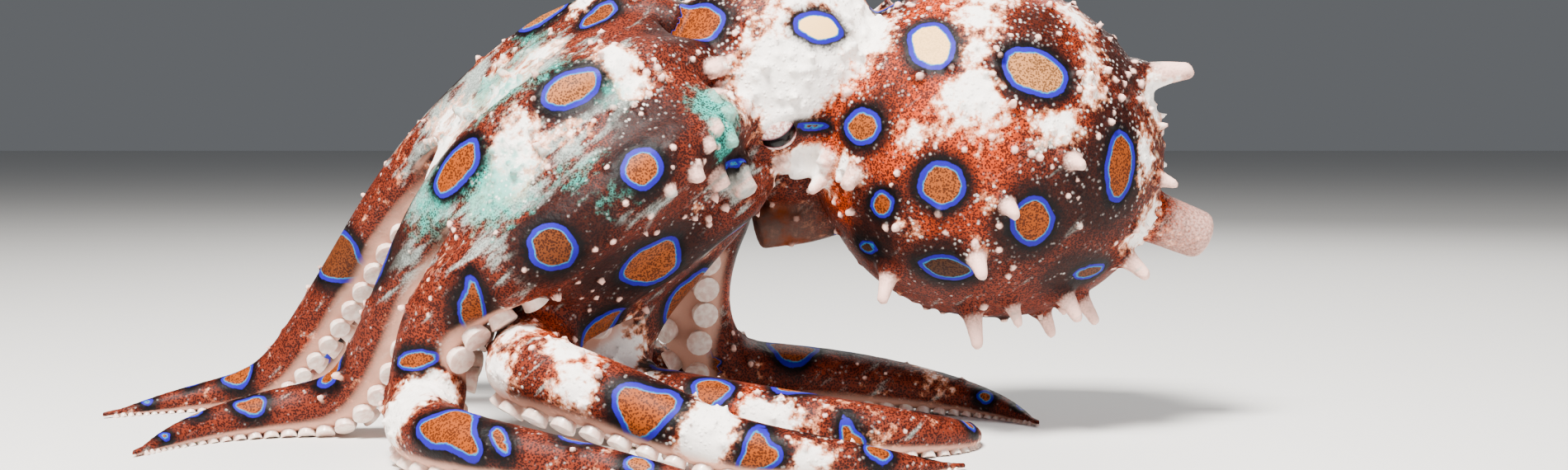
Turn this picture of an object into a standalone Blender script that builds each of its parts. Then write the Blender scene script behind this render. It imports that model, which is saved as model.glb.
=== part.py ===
# Greater blue-ringed octopus, life size, resting on its arms with the mantle held clear on the right.
# The sizes are in millimetres while the pieces are made, and the last step brings them to metres.
# +X runs from the arms to the tail, +Z is up, and the animal's left side faces -Y.
# The body is rolled towards its left side, so both eyes and the arm crown are set out by that roll.

import math
from itertools import combinations

import bmesh
import bpy
import numpy as np
from mathutils import Vector

TO_METRES = 0.001
GAP = 0.35  # between neighbouring pieces

# Mantle: the bag behind the head.
MANTLE_CENTRE = Vector((24.0, 3.0, 35.0))
MANTLE_TAILWARD = Vector((0.92, 0.16, -0.36)).normalized()
MANTLE_HALF_LENGTH = 23.0
MANTLE_HALF_HEIGHT = 20.5
MANTLE_HALF_WIDTH = 17.5
MANTLE_NECK_TAPER = 0.22
MANTLE_RINGS = 14
MANTLE_SIDES = 22

# Head, with an eye on each side and the arm crown in front.
HEAD_CENTRE = Vector((-2.0, 0.5, 44.5))
HEAD_FORWARD = Vector((-0.88, 0.0, -0.47)).normalized()
HEAD_HALF_LENGTH = 14.5
HEAD_HALF_HEIGHT = 12.5
HEAD_HALF_WIDTH = 11.5
HEAD_RINGS = 12
HEAD_SIDES = 18
BODY_ROLL = 50.0  # degrees, the back leaning towards the left side
EYE_FROM_BACK = 80.0  # degrees round the head from the midline of the back
EYE_RADIUS = 3.3
EYE_RINGS = 8
EYE_SIDES = 12
EYE_OUT = 9.4  # eye centre from the head's axis
EYE_ALONG = 2.4  # eye centre ahead of the head's middle
TURRET_RADIUS = 5.4
TURRET_OUT = 7.0
TURRET_RINGS = 7
LID_RADIUS = 3.3
LID_THICKNESS = 1.0
LID_SIDES = 12
LID_TUBE_SIDES = 5
LID_PROUD = 1.6  # lid rim ahead of the eye's centre
LID_LENGTHENED = 1.15
LID_NARROWED = 0.72
LIP_RADIUS = 2.4
LIP_THICKNESS = 0.9
LIP_SIDES = 10
MOUTH_DEPTH = 2.2

# Arm crown: eight arms round the mouth.
CROWN_CENTRE = HEAD_CENTRE + HEAD_FORWARD * 7.0
CROWN_RADIUS = 9.4
CROWN_ROLL = 46.0  # degrees
ARM_SPACING = 45.0  # degrees
ARM_RADIUS = 5.2
ARM_CROWN_SHARE = 0.66  # of the full radius where an arm leaves the crown
ARM_TIP_RADIUS = 0.6
ARM_SWELL_RATE = 2.0  # how fast it comes to its full radius
ARM_TAPER_START = 2.8  # a higher number keeps it thick for longer
ARM_TAPER_SHAPE = 0.85
ARM_TURNS_DOWN = (0.12, 0.5)  # shares between which the suckers turn from the mouth to the floor
ARM_SIDES = 9
ARM_ORAL_FLATNESS = 0.86
ARM_SPLITS = (0.0, 0.34, 0.66, 1.0)
ARM_SECTIONS = (8, 9, 9)

# Suckers, in two rows on the underside of each arm.
SUCKERS_PER_ARM = 23
SUCKER_SIDES = 6
SUCKER_SHARE = 0.35  # of the arm's radius
SUCKER_LEAST_RADIUS = 0.45
SUCKER_HEIGHT_SHARE = 0.75  # of the sucker's radius
SUCKER_ANGLE = 27.0  # degrees each side of the middle of the underside
SUCKER_FOOT_SHARE = 0.75  # these four are shares of the sucker's radius
SUCKER_ROOT_SHARE = 0.6
SUCKER_RIM_SHARE = 0.4
SUCKER_ROOM_SHARE = 1.3
SUCKER_CUP_SHARE = 0.5  # of its height
SUCKER_FIRST = 0.09  # share of the arm where the suckers start
SUCKER_SPAN = 0.89
SUCKER_CROWDING = 1.05
APART = 0.9  # least room between two arms
EASE_ROUNDS = 14
EASE_WINDOW = 9
ROOT_HOLD = 0.1  # share of an arm, from the crown, that moves less
FLOOR_WIDTH = 300.0
FLOOR_DEPTH = 20.0
FLOOR_SINK = 0.35  # how far the lowest suckers would pass the floor before they are cut flat

# Web between the arms.
WEB_EDGE_SAG = 0.2
WEB_ANGLES = ((62.0, 112.0), (40.0, 92.0))  # outer and inner sheet: degrees from facing, and least from below
WEB_ANGLE_RANGE = 55.0
WEB_ROWS = 7
WEB_COLUMNS = 4
WEB_LEAST_WIDTH = 1.6
WEB_REACH = {"web_left_4_right_4": 0.7}  # share of the usual reach along the arms

# Funnel below the neck.
FUNNEL_PATH = ((14.0, 9.5, 34.0), (8.0, 9.8, 29.5), (2.5, 9.2, 26.4), (-3.5, 8.2, 24.8))
FUNNEL_ROOT_RADIUS = 6.4
FUNNEL_END_RADIUS = 2.6
FUNNEL_RINGS = 9
FUNNEL_SIDES = 12
FUNNEL_BORE_RADIUS = 1.8
FUNNEL_BORE_DEPTH = 5.0

PAPILLA_SIDES = 6
PAPILLA_SINK = 0.45  # share of its length below the skin
PAPILLA_BLUNT = 0.42  # width near the tip, as a share of the foot's
TAIL_BLUNT = 0.86
MANTLE_PAPILLA_LEAN = 0.3  # towards the tail
MANTLE_PAPILLA_DROOP = 0.15
HEAD_PAPILLA_DROOP = 0.2
HEAD_PAPILLA_BLUNT = 0.5

# Each arm: how it leaves the crown, counted in steps from the midline of the back,
# then where it goes, and how far the web runs along it.
ARMS = {
    "arm_left_1": (0.5, 0.42, (
        (-15, -11, 45), (-21, -13, 42), (-27, -13.5, 38.5), (-33, -12.5, 34), (-38, -10, 28.5), (-42, -7, 22),
        (-46, -4, 14), (-51, -1, 6), (-58, 1, 0), (-66, -2, 0), (-72, -9, 0), (-74, -17, 0))),
    "arm_left_2": (1.5, 0.46, (
        (-9, -15, 37.5), (-14, -18, 33.5), (-20, -19.5, 29), (-26, -19.5, 24.5), (-31.5, -18, 20),
        (-36.5, -15.5, 15), (-40, -14.5, 8.5), (-41, -18, 2), (-39.5, -25.5, 0), (-34, -31.5, 0), (-26, -35, 0),
        (-18, -37.5, 0), (-10, -39.5, 0), (-2, -41.5, 0))),
    "arm_left_3": (2.5, 0.36, (
        (-5.5, -8.5, 31.5), (-11.5, -9, 27), (-18, -9, 22.5), (-24.5, -9.5, 18.5), (-30, -11.5, 15),
        (-32, -17, 12.5), (-28.5, -22.5, 10.5), (-22, -26, 9), (-15.5, -28.5, 7), (-8.5, -30.5, 4),
        (-1.5, -32, 1), (6.5, -32, 0), (14, -30, 0), (20, -25, 0))),
    "arm_left_4": (3.5, 0.30, (
        (-6, 3, 29.5), (-12.5, 1.5, 24), (-18.5, 0.5, 17.5), (-21.5, -1, 10.5), (-19.5, -5, 4), (-13, -10.5, 0),
        (-5, -14.5, 0), (3, -17, 0), (11, -17.5, 0), (18.5, -14.5, 0), (23, -8, 0), (22, -1, 0))),
    "arm_right_4": (-3.5, 0.30, (
        (-6, 13.5, 33), (-9.5, 17, 26.5), (-12, 19.5, 19), (-12, 21.5, 11.5), (-8, 23, 4.5), (-1, 24, 0),
        (7, 24.5, 0), (15, 22.5, 0), (22.5, 19, 0), (29, 14, 0), (32, 7, 0))),
    "arm_right_3": (-2.5, 0.36, (
        (-12, 16, 41), (-17, 21.5, 36), (-22, 26, 29.5), (-26, 29.5, 22), (-28, 33, 14), (-26.5, 37, 6),
        (-21, 41, 0), (-13.5, 43.5, 0), (-5.5, 43, 0), (1, 38.5, 0), (3, 31.5, 0))),
    "arm_right_2": (-1.5, 0.42, (
        (-16.5, 10, 49), (-23.5, 15.5, 46), (-31, 20.5, 41), (-38, 25, 35.5), (-45, 29, 29), (-51.5, 32.5, 21.5),
        (-57, 36, 13.5), (-62, 39, 5.5), (-66.5, 44, 0), (-69, 51, 0), (-67.5, 58, 0), (-62.5, 62, 0))),
    "arm_right_1": (-0.5, 0.42, (
        (-17, -1, 51), (-24, 2, 48.5), (-31, 5, 44.5), (-37.5, 8, 39.5), (-44, 11.5, 33.5), (-50, 15, 26.5),
        (-55.5, 18.5, 19), (-61.5, 21, 11), (-68.5, 22.5, 3), (-76, 22.5, 0), (-83, 19.5, 0),
        (-88, 14.5, 0))),
}

# Long papillae of the mantle: share of the length from neck to tail, degrees round it from the top
# towards the left side, length and radius at the foot.
MANTLE_PAPILLAE = (
    (0.80, 26, 6.5, 2.4),
    (0.51, 126, 3.4, 1.7),
    (0.36, 156, 3.8, 1.6),
    (0.80, 141, 3.6, 1.7),
    (0.92, 122, 3.8, 1.7),
    (0.63, 84, 2.6, 1.5),
    (0.52, 105, 2.8, 1.5),
    (0.60, 157, 4.4, 1.7),
    (0.86, 150, 3.8, 1.5),
    (0.68, 147, 2.8, 1.3),
    (0.12, 150, 3.0, 1.5),
    (0.93, 66, 2.4, 1.3),
    (0.62, -25, 3.2, 1.5),
    (0.85, -60, 4.5, 1.8),
    (0.62, -95, 4.2, 1.6),
    (0.40, -70, 3.2, 1.4),
    (0.75, -135, 4.2, 1.6),
    (0.45, -130, 3.6, 1.4),
    (0.82, 178, 3.4, 1.5),
)
TAIL_LENGTH = 9.5
TAIL_RADIUS = 3.5

# Papillae of the head: share from the neck to the crown, degrees round from the top towards the left.
HEAD_PAPILLAE = (
    (0.72, 92, 3.0, 1.7),
    (0.76, 108, 2.6, 1.5),
    (0.66, 78, 2.4, 1.4),
    (0.44, 150, 3.2, 1.7),
    (0.58, 156, 3.0, 1.6),
    (0.34, 128, 3.2, 1.7),
    (0.50, 20, 2.2, 1.4),
    (0.62, -4, 2.6, 1.5),
    (0.45, -60, 2.6, 1.5),
)


def clear_scene():
    for item in list(bpy.data.objects):
        bpy.data.objects.remove(item)


def new_collection(name):
    made = bpy.data.collections.new(name)
    bpy.context.scene.collection.children.link(made)
    return made


def new_material(name, colour, roughness):
    made = bpy.data.materials.new(name)
    made.use_nodes = True
    shader = made.node_tree.nodes["Principled BSDF"]
    shader.inputs["Base Color"].default_value = (*colour, 1.0)
    shader.inputs["Roughness"].default_value = roughness
    shader.inputs["Metallic"].default_value = 0.0
    return made


def object_from(name, work, collection, material=None):
    """An object of this bmesh, its faces pointing out."""
    bmesh.ops.recalc_face_normals(work, faces=work.faces)
    if work.calc_volume(signed=True) < 0:
        bmesh.ops.reverse_faces(work, faces=work.faces)
    mesh = bpy.data.meshes.new(name)
    work.to_mesh(mesh)
    work.free()
    made = bpy.data.objects.new(name, mesh)
    collection.objects.link(made)
    if material:
        mesh.materials.append(material)
    return made


def smooth_path(points, count):
    """Points evenly spaced along a Catmull-Rom curve through these."""
    ends = [points[0] * 2 - points[1], *points, points[-1] * 2 - points[-2]]
    fine = []
    steps = 24
    for a, b, c, d in zip(ends, ends[1:], ends[2:], ends[3:]):
        for k in range(steps):
            t = k / steps
            fine.append(0.5 * (2 * b + (c - a) * t + (2 * a - 5 * b + 4 * c - d) * t**2
                               + (3 * b - a - 3 * c + d) * t**3))
    fine.append(points[-1].copy())
    walked = [0.0]
    for a, b in zip(fine, fine[1:]):
        walked.append(walked[-1] + (b - a).length)
    even, k = [], 0
    for i in range(count):
        target = walked[-1] * i / (count - 1)
        while k < len(walked) - 2 and walked[k + 1] < target:
            k += 1
        share = (target - walked[k]) / max(walked[k + 1] - walked[k], 1e-9)
        even.append(fine[k].lerp(fine[k + 1], min(share, 1.0)))
    return even, walked[-1]


def across(vector, direction):
    """The part of a vector that is square to a direction, at unit length."""
    return (vector - direction * vector.dot(direction)).normalized()


def body_side(forward, degrees):
    """A direction square to forward: 90 is up and 0 is towards the left side of the scene's front."""
    near = Vector((0.0, -1.0, 0.0))
    near = across(near, forward)
    up = across(Vector((0.0, 0.0, 1.0)), forward)
    up = across(up, near)
    angle = math.radians(degrees)
    return near * math.cos(angle) + up * math.sin(angle)


def smoothstep(low, high, value):
    t = min(max((value - low) / (high - low), 0.0), 1.0)
    return t * t * (3 - 2 * t)


def loft(rings):
    """A closed body through rings of points, with a fan at each end."""
    work = bmesh.new()
    rows = [[work.verts.new(point) for point in ring] for ring in rings]
    count = len(rows[0])
    for low, high in zip(rows, rows[1:]):
        for k in range(count):
            n = (k + 1) % count
            work.faces.new((low[k], low[n], high[n], high[k]))
    for row in (rows[0], rows[-1]):
        middle = work.verts.new(sum((v.co for v in row), Vector()) / count)
        for k in range(count):
            work.faces.new((row[k], row[(k + 1) % count], middle))
    return work


def round_ring(centre, axis, radius, sides, start=Vector((0.0, 0.0, 1.0))):
    first = across(start if abs(axis.dot(start)) < 0.95 else Vector((1.0, 0.0, 0.0)), axis)
    second = axis.cross(first)
    turn = 2 * math.pi / sides
    return [centre + (first * math.cos(k * turn) + second * math.sin(k * turn)) * radius for k in range(sides)]


class Arm:
    """The centre line of one arm, its thickness and which way its underside looks."""

    SAMPLES = 241

    def __init__(self, name):
        steps, self.web_share, route = ARMS[name]
        self.name = name
        out = body_side(HEAD_FORWARD, 90.0 - CROWN_ROLL - steps * ARM_SPACING)
        root = CROWN_CENTRE + out * CROWN_RADIUS
        self.inward = -out
        points = [root, *map(Vector, route)]
        self.points, self.length = smooth_path(points, self.SAMPLES)
        self.radii = np.array([self.radius(k / (self.SAMPLES - 1)) for k in range(self.SAMPLES)])
        self.stay_above_floor()

    def stay_above_floor(self):
        """Lifts the centre line so that the suckers below it stand on the floor."""
        for point, radius in zip(self.points, self.radii):
            cup = sucker_radius(radius) * SUCKER_HEIGHT_SHARE
            point.z = max(point.z, radius * ARM_ORAL_FLATNESS + cup * 0.9 - FLOOR_SINK)

    def radius(self, share):
        swell = min(1.0, ARM_CROWN_SHARE + ARM_SWELL_RATE * share)
        taper = max(1.0 - share**ARM_TAPER_START, 0.0) ** ARM_TAPER_SHAPE
        return max(ARM_RADIUS * swell * taper, ARM_TIP_RADIUS)

    def at(self, share):
        """Centre, direction, underside direction and sideways direction at a share of the length."""
        place = min(max(share, 0.0), 1.0) * (self.SAMPLES - 1)
        k = min(int(place), self.SAMPLES - 2)
        centre = self.points[k].lerp(self.points[k + 1], place - k)
        ahead, behind = self.points[min(k + 5, self.SAMPLES - 1)], self.points[max(k - 4, 0)]
        along = (ahead - behind).normalized()
        down = smoothstep(*ARM_TURNS_DOWN, share)
        under = across(self.inward * (1 - down) + Vector((0.0, 0.0, -1.0)) * down, along)
        return centre, along, under, along.cross(under)

    def surface(self, share, degrees, extra=0.0):
        """The point and outward direction at an angle round the arm, from the middle of its underside."""
        centre, _, under, side = self.at(share)
        angle = math.radians(degrees)
        flat = ARM_ORAL_FLATNESS if math.cos(angle) > 0 else 1.0
        radius = self.radius(share) + extra
        out = under * (math.cos(angle) * flat) + side * math.sin(angle)
        return centre + out * radius, out.normalized()

    def stretches(self):
        """Where each length starts and ends, and how many sections it has."""
        return list(zip(ARM_SPLITS, ARM_SPLITS[1:], ARM_SECTIONS))

    def tube(self, start, end, sections, extra=0.0):
        turn = 360.0 / ARM_SIDES
        shares = [start + (end - start) * k / (sections - 1) for k in range(sections)]
        return loft([[self.surface(s, k * turn, extra)[0] for k in range(ARM_SIDES)] for s in shares])


def softened(rows, window):
    """Each row averaged with those beside it, the first and last staying where they are."""
    wide = np.pad(rows, ((window // 2, window // 2), (0, 0)), mode="reflect", reflect_type="odd")
    share = np.ones(window) / window
    return np.stack([np.convolve(wide[:, k], share, "valid") for k in range(3)], axis=1)


def keep_apart(arms):
    """Eases the arms' bends, and moves the arms away from each other wherever they would touch."""
    for _ in range(EASE_ROUNDS):
        places = [np.array([tuple(point) for point in arm.points]) for arm in arms]
        moves = [np.zeros_like(place) for place in places]
        for k, n in combinations(range(len(arms)), 2):
            reach = places[n][None] - places[k][:, None]
            distance = np.linalg.norm(reach, axis=2)
            short = arms[k].radii[:, None] + arms[n].radii[None] + APART - distance
            for i in np.nonzero(short.max(axis=1) > 0)[0]:
                j = int(short[i].argmax())
                push = reach[i, j] / max(distance[i, j], 0.1) * short[i, j] * 0.5
                moves[k][i] -= push
                moves[n][j] += push
        for arm, place, move in zip(arms, places, moves):
            held = np.linspace(0.0, 1.0, arm.SAMPLES)[:, None]
            move *= np.clip(held / ROOT_HOLD, 0.0, 1.0)
            eased = softened(place + softened(move, 2 * EASE_WINDOW + 1), EASE_WINDOW)
            arm.points = [Vector(point) for point in eased]
            arm.stay_above_floor()
    for arm in arms:
        arm.length = sum((b - a).length for a, b in zip(arm.points, arm.points[1:]))


def sucker_radius(arm_radius):
    return max(arm_radius * SUCKER_SHARE, SUCKER_LEAST_RADIUS)


def sucker(arm, share, side, collection):
    """A shallow cup on the underside, its root sunk in the arm."""
    radius = sucker_radius(arm.radius(share))
    height = radius * SUCKER_HEIGHT_SHARE
    root = radius * SUCKER_ROOT_SHARE
    foot, out = arm.surface(share, side * SUCKER_ANGLE)
    work = bmesh.new()
    bmesh.ops.create_cone(work, cap_ends=True, segments=SUCKER_SIDES, radius1=radius * SUCKER_FOOT_SHARE,
                          radius2=radius, depth=root + height)
    rim = max(work.faces, key=lambda face: face.calc_center_median().z)
    bmesh.ops.inset_individual(work, faces=[rim], thickness=radius * SUCKER_RIM_SHARE,
                                depth=-height * SUCKER_CUP_SHARE)
    stand(work, foot + out * ((height - root) / 2), out)
    return object_from("sucker", work, collection)


def papilla(foot, out, length, radius, collection, droop=0.0, blunt=PAPILLA_BLUNT, sides=PAPILLA_SIDES):
    """A soft spike: a wide foot sunk in the skin, narrowing to a rounded tip that may hang."""
    work = bmesh.new()
    stops = ((-PAPILLA_SINK, 1.3), (0.1, 1.0), (0.55, 0.35 + 0.65 * blunt), (0.88, blunt), (1.0, 0.5 * blunt))
    bmesh.ops.create_cone(work, cap_ends=True, segments=sides, radius1=1.0, radius2=1.0, depth=2.0)
    long_edges = [edge for edge in work.edges if abs(edge.verts[0].co.z - edge.verts[1].co.z) > 1.0]
    bmesh.ops.subdivide_edges(work, edges=long_edges, cuts=len(stops) - 2)
    for vertex in work.verts:
        level = round((vertex.co.z + 1.0) / 2.0 * (len(stops) - 1))
        height, wide = stops[level]
        vertex.co = Vector((vertex.co.x * radius * wide, vertex.co.y * radius * wide, height * length))
    stand(work, foot, out)
    for vertex in work.verts:
        beyond = max((vertex.co - foot).dot(out), 0.0)
        vertex.co.z -= droop * beyond**2 / length
    return object_from("papilla", work, collection)


def stand(work, foot, out):
    """Turns a mesh made along +Z to point a given way and puts its middle in place."""
    turn = Vector((0.0, 0.0, 1.0)).rotation_difference(out)
    for vertex in work.verts:
        vertex.co = turn @ vertex.co + foot


def shaped_mesh(item):
    """The object's mesh as its modifiers leave it."""
    graph = bpy.context.evaluated_depsgraph_get()
    return bpy.data.meshes.new_from_object(item.evaluated_get(graph))


def boolean(item, operation, others, solver="EXACT"):
    """Joins or cuts an object with others, applies the result and removes them."""
    group = new_collection("boolean_pieces")
    for other in others:
        for holder in list(other.users_collection):
            holder.objects.unlink(other)
        group.objects.link(other)
    modifier = item.modifiers.new(operation.lower(), "BOOLEAN")
    modifier.operation = operation
    modifier.operand_type = "COLLECTION"
    modifier.collection = group
    modifier.solver = solver
    bpy.context.view_layer.update()
    mesh = shaped_mesh(item)
    item.modifiers.clear()
    item.data = mesh
    for other in others:
        bpy.data.objects.remove(other)
    bpy.data.collections.remove(group)
    keep_largest(item)


def copies(items, collection):
    """Cutters to use up, so that the first ones stay for the next neighbour."""
    made = []
    for item in items:
        made.append(bpy.data.objects.new(item.name + "_copy", item.data.copy()))
        collection.objects.link(made[-1])
    return made


def keep_largest(item):
    """Leaves the largest closed surface of the object, so a sealed hollow or a loose scrap goes."""
    work = bmesh.new()
    work.from_mesh(item.data)
    bmesh.ops.remove_doubles(work, verts=work.verts, dist=0.002)
    seen, islands = set(), []
    for face in work.faces:
        if face in seen:
            continue
        island, waiting = [], [face]
        seen.add(face)
        while waiting:
            here = waiting.pop()
            island.append(here)
            for edge in here.edges:
                if len(edge.link_faces) != 2:
                    continue
                for there in edge.link_faces:
                    if there not in seen:
                        seen.add(there)
                        waiting.append(there)
        islands.append(island)
    best = max(islands, key=lambda island: sum(face.calc_area() for face in island))
    loose = [face for island in islands if island is not best for face in island]
    if loose:
        bmesh.ops.delete(work, geom=loose, context="FACES")
    work.to_mesh(item.data)
    work.free()


def grown(item, collection, amount=GAP):
    """A copy of an object, swollen by an amount, to cut its neighbour clear of it."""
    mesh = item.data.copy()
    moves = [vertex.normal * amount for vertex in mesh.vertices]
    for vertex, move in zip(mesh.vertices, moves):
        vertex.co += move
    made = bpy.data.objects.new(item.name + "_cutter", mesh)
    collection.objects.link(made)
    return made


def egg_point(centre, forward, half, share, degrees, taper=0.0):
    """A point of an egg-shaped body: share 0 to 1 along it, degrees round it from the top to the left side."""
    near, up = body_side(forward, 0.0), body_side(forward, 90.0)
    along = 1.0 - 2.0 * share
    ring = math.sqrt(max(1.0 - along * along, 0.0))
    ring *= 1.0 - taper * smoothstep(0.0, 1.0, along) * along
    angle = math.radians(degrees)
    wide = near * (math.sin(angle) * half[2]) + up * (math.cos(angle) * half[1])
    return centre + forward * (along * half[0]) + wide * ring


def egg_normal(share, degrees, *body):
    """The outward direction of an egg-shaped body."""
    step = 0.01
    low, high = max(share - step, 0.001), min(share + step, 0.999)
    along = egg_point(*body[:3], high, degrees, *body[3:]) - egg_point(*body[:3], low, degrees, *body[3:])
    ahead = egg_point(*body[:3], share, degrees + 1.0, *body[3:])
    round_it = ahead - egg_point(*body[:3], share, degrees - 1.0, *body[3:])
    out = along.cross(round_it).normalized()
    middle = body[0]
    return out if out.dot(egg_point(*body[:3], share, degrees, *body[3:]) - middle) > 0 else -out


def egg(name, rings, sides, body, collection, material):
    """A sphere drawn out into an egg-shaped body."""
    work = bmesh.new()
    bmesh.ops.create_uvsphere(work, u_segments=sides, v_segments=rings, radius=1.0)
    for vertex in work.verts:
        degrees = math.degrees(math.atan2(vertex.co.x, vertex.co.y))
        vertex.co = egg_point(*body[:3], 0.5 - 0.5 * vertex.co.z, degrees, body[3])
    return object_from(name, work, collection, material)


MANTLE_BODY = (
    MANTLE_CENTRE,
    -MANTLE_TAILWARD,
    (MANTLE_HALF_LENGTH, MANTLE_HALF_HEIGHT, MANTLE_HALF_WIDTH),
    MANTLE_NECK_TAPER,
)
HEAD_BODY = (
    HEAD_CENTRE,
    HEAD_FORWARD,
    (HEAD_HALF_LENGTH, HEAD_HALF_HEIGHT, HEAD_HALF_WIDTH),
    0.0,
)


def make_mantle(parts, helpers, material):
    mantle = egg("mantle", MANTLE_RINGS, MANTLE_SIDES, MANTLE_BODY, parts, material)
    spikes = []
    for share, degrees, length, radius in MANTLE_PAPILLAE:
        foot = egg_point(*MANTLE_BODY[:3], share, degrees, MANTLE_NECK_TAPER)
        out = egg_normal(share, degrees, *MANTLE_BODY)
        lean = (out + MANTLE_TAILWARD * MANTLE_PAPILLA_LEAN).normalized()
        spikes.append(papilla(foot, lean, length, radius, helpers, droop=MANTLE_PAPILLA_DROOP))
    foot = MANTLE_CENTRE + MANTLE_TAILWARD * (MANTLE_HALF_LENGTH - 1.0)
    spikes.append(papilla(foot, MANTLE_TAILWARD, TAIL_LENGTH, TAIL_RADIUS, helpers, blunt=TAIL_BLUNT, sides=10))
    boolean(mantle, "UNION", spikes)
    return mantle


def eye_direction(side):
    return body_side(HEAD_FORWARD, 90.0 - BODY_ROLL - side * EYE_FROM_BACK)


def ball(name, centre, radius, collection, material, rings, sides, axis):
    work = bmesh.new()
    bmesh.ops.create_uvsphere(work, u_segments=sides, v_segments=rings, radius=radius)
    stand(work, centre, axis)
    return object_from(name, work, collection, material)


def make_eye(name, side, parts, material):
    out = eye_direction(side)
    centre = HEAD_CENTRE + HEAD_FORWARD * EYE_ALONG + out * EYE_OUT
    return ball(name, centre, EYE_RADIUS, parts, material, EYE_RINGS, EYE_SIDES, out)


def make_head(parts, helpers, material, eyes, mantle):
    head = egg("head", HEAD_RINGS, HEAD_SIDES, HEAD_BODY, parts, material)
    pieces = []
    for side in (1, -1):
        out = eye_direction(side)
        middle = HEAD_CENTRE + HEAD_FORWARD * EYE_ALONG
        turret = middle + out * TURRET_OUT
        pieces.append(ball("turret", turret, TURRET_RADIUS, helpers, None, TURRET_RINGS, LID_SIDES, out))
        pieces.append(make_lid(middle + out * (EYE_OUT + LID_PROUD), out, helpers))
    lips, mouth = make_mouth(helpers)
    pieces.append(lips)
    for share, degrees, length, radius in HEAD_PAPILLAE:
        foot = egg_point(*HEAD_BODY[:3], 1.0 - share, degrees)
        out = egg_normal(1.0 - share, degrees, *HEAD_BODY)
        spike = papilla(foot, out, length, radius, helpers, HEAD_PAPILLA_DROOP, HEAD_PAPILLA_BLUNT)
        pieces.append(spike)
    swollen = [grown(piece, helpers) for piece in (head, *pieces)]
    boolean(head, "UNION", pieces)
    boolean(head, "DIFFERENCE", [mouth, *[grown(item, helpers) for item in (*eyes, mantle)]])
    return head, swollen


def make_lid(centre, out, collection):
    """The rim of skin round an eye, longer along the head than across it."""
    bpy.ops.mesh.primitive_torus_add(
        major_segments=LID_SIDES, minor_segments=LID_TUBE_SIDES,
        major_radius=LID_RADIUS, minor_radius=LID_THICKNESS)
    ring = bpy.context.object
    work = bmesh.new()
    work.from_mesh(ring.data)
    bpy.data.objects.remove(ring)
    long_way = across(HEAD_FORWARD, out)
    short_way = out.cross(long_way)
    for vertex in work.verts:
        x, y, z = vertex.co
        vertex.co = centre + long_way * (x * LID_LENGTHENED) + short_way * (y * LID_NARROWED) + out * z
    return object_from("lid", work, collection)


def make_mouth(collection):
    """The ring of the lips round the mouth, in the middle of the arm crown, and the opening in it."""
    bpy.ops.mesh.primitive_torus_add(
        major_segments=LIP_SIDES, minor_segments=6, major_radius=LIP_RADIUS, minor_radius=LIP_THICKNESS)
    ring = bpy.context.object
    lips = bmesh.new()
    lips.from_mesh(ring.data)
    bpy.data.objects.remove(ring)
    front = HEAD_CENTRE + HEAD_FORWARD * (HEAD_HALF_LENGTH - 0.2)
    stand(lips, front, HEAD_FORWARD)
    opening = bmesh.new()
    bmesh.ops.create_cone(opening, cap_ends=True, segments=LIP_SIDES, radius1=0.3, radius2=LIP_RADIUS * 0.6,
                          depth=2 * MOUTH_DEPTH)
    stand(opening, front + HEAD_FORWARD * LIP_THICKNESS * 0.5, HEAD_FORWARD)
    return object_from("lips", lips, collection), object_from("mouth", opening, collection)


def make_funnel(parts, helpers, material, neighbours):
    """The short pipe below the neck, open at its free end."""
    path, _ = smooth_path([Vector(point) for point in FUNNEL_PATH], FUNNEL_RINGS)
    rings = []
    for k, centre in enumerate(path):
        axis = (path[min(k + 1, FUNNEL_RINGS - 1)] - path[max(k - 1, 0)]).normalized()
        share = k / (FUNNEL_RINGS - 1)
        radius = FUNNEL_ROOT_RADIUS + (FUNNEL_END_RADIUS - FUNNEL_ROOT_RADIUS) * smoothstep(-0.2, 1.1, share)
        rings.append(round_ring(centre, axis, radius, FUNNEL_SIDES))
    funnel = object_from("funnel", loft(rings), parts, material)
    axis = (path[-1] - path[-2]).normalized()
    bore = bmesh.new()
    bmesh.ops.create_cone(bore, cap_ends=True, segments=FUNNEL_SIDES, radius1=FUNNEL_BORE_RADIUS * 0.6,
                          radius2=FUNNEL_BORE_RADIUS, depth=2 * FUNNEL_BORE_DEPTH)
    stand(bore, path[-1], axis)
    boolean(funnel, "DIFFERENCE", [object_from("bore", bore, helpers)])
    boolean(funnel, "DIFFERENCE", copies(neighbours, helpers))
    return funnel


def web_side(one, two, share):
    """Which side of an arm its neighbour is on."""
    centre, _, _, side = one.at(share)
    return 1.0 if (two.at(share)[0] - centre).dot(side) > 0 else -1.0


def web_foot(one, two, share, hand, degrees, least):
    """Where the web meets an arm: round it from the side that faces its neighbour towards its back."""
    centre, along, under, side = one.at(share)
    facing = across(two.at(share)[0] - centre, along)
    turn = math.degrees(math.atan2(facing.dot(side) * hand, facing.dot(under)))
    angle = math.radians(min(max(turn + degrees, least), least + WEB_ANGLE_RANGE))
    return centre + (under * math.cos(angle) + side * (math.sin(angle) * hand)) * (one.radius(share) + GAP)


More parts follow.
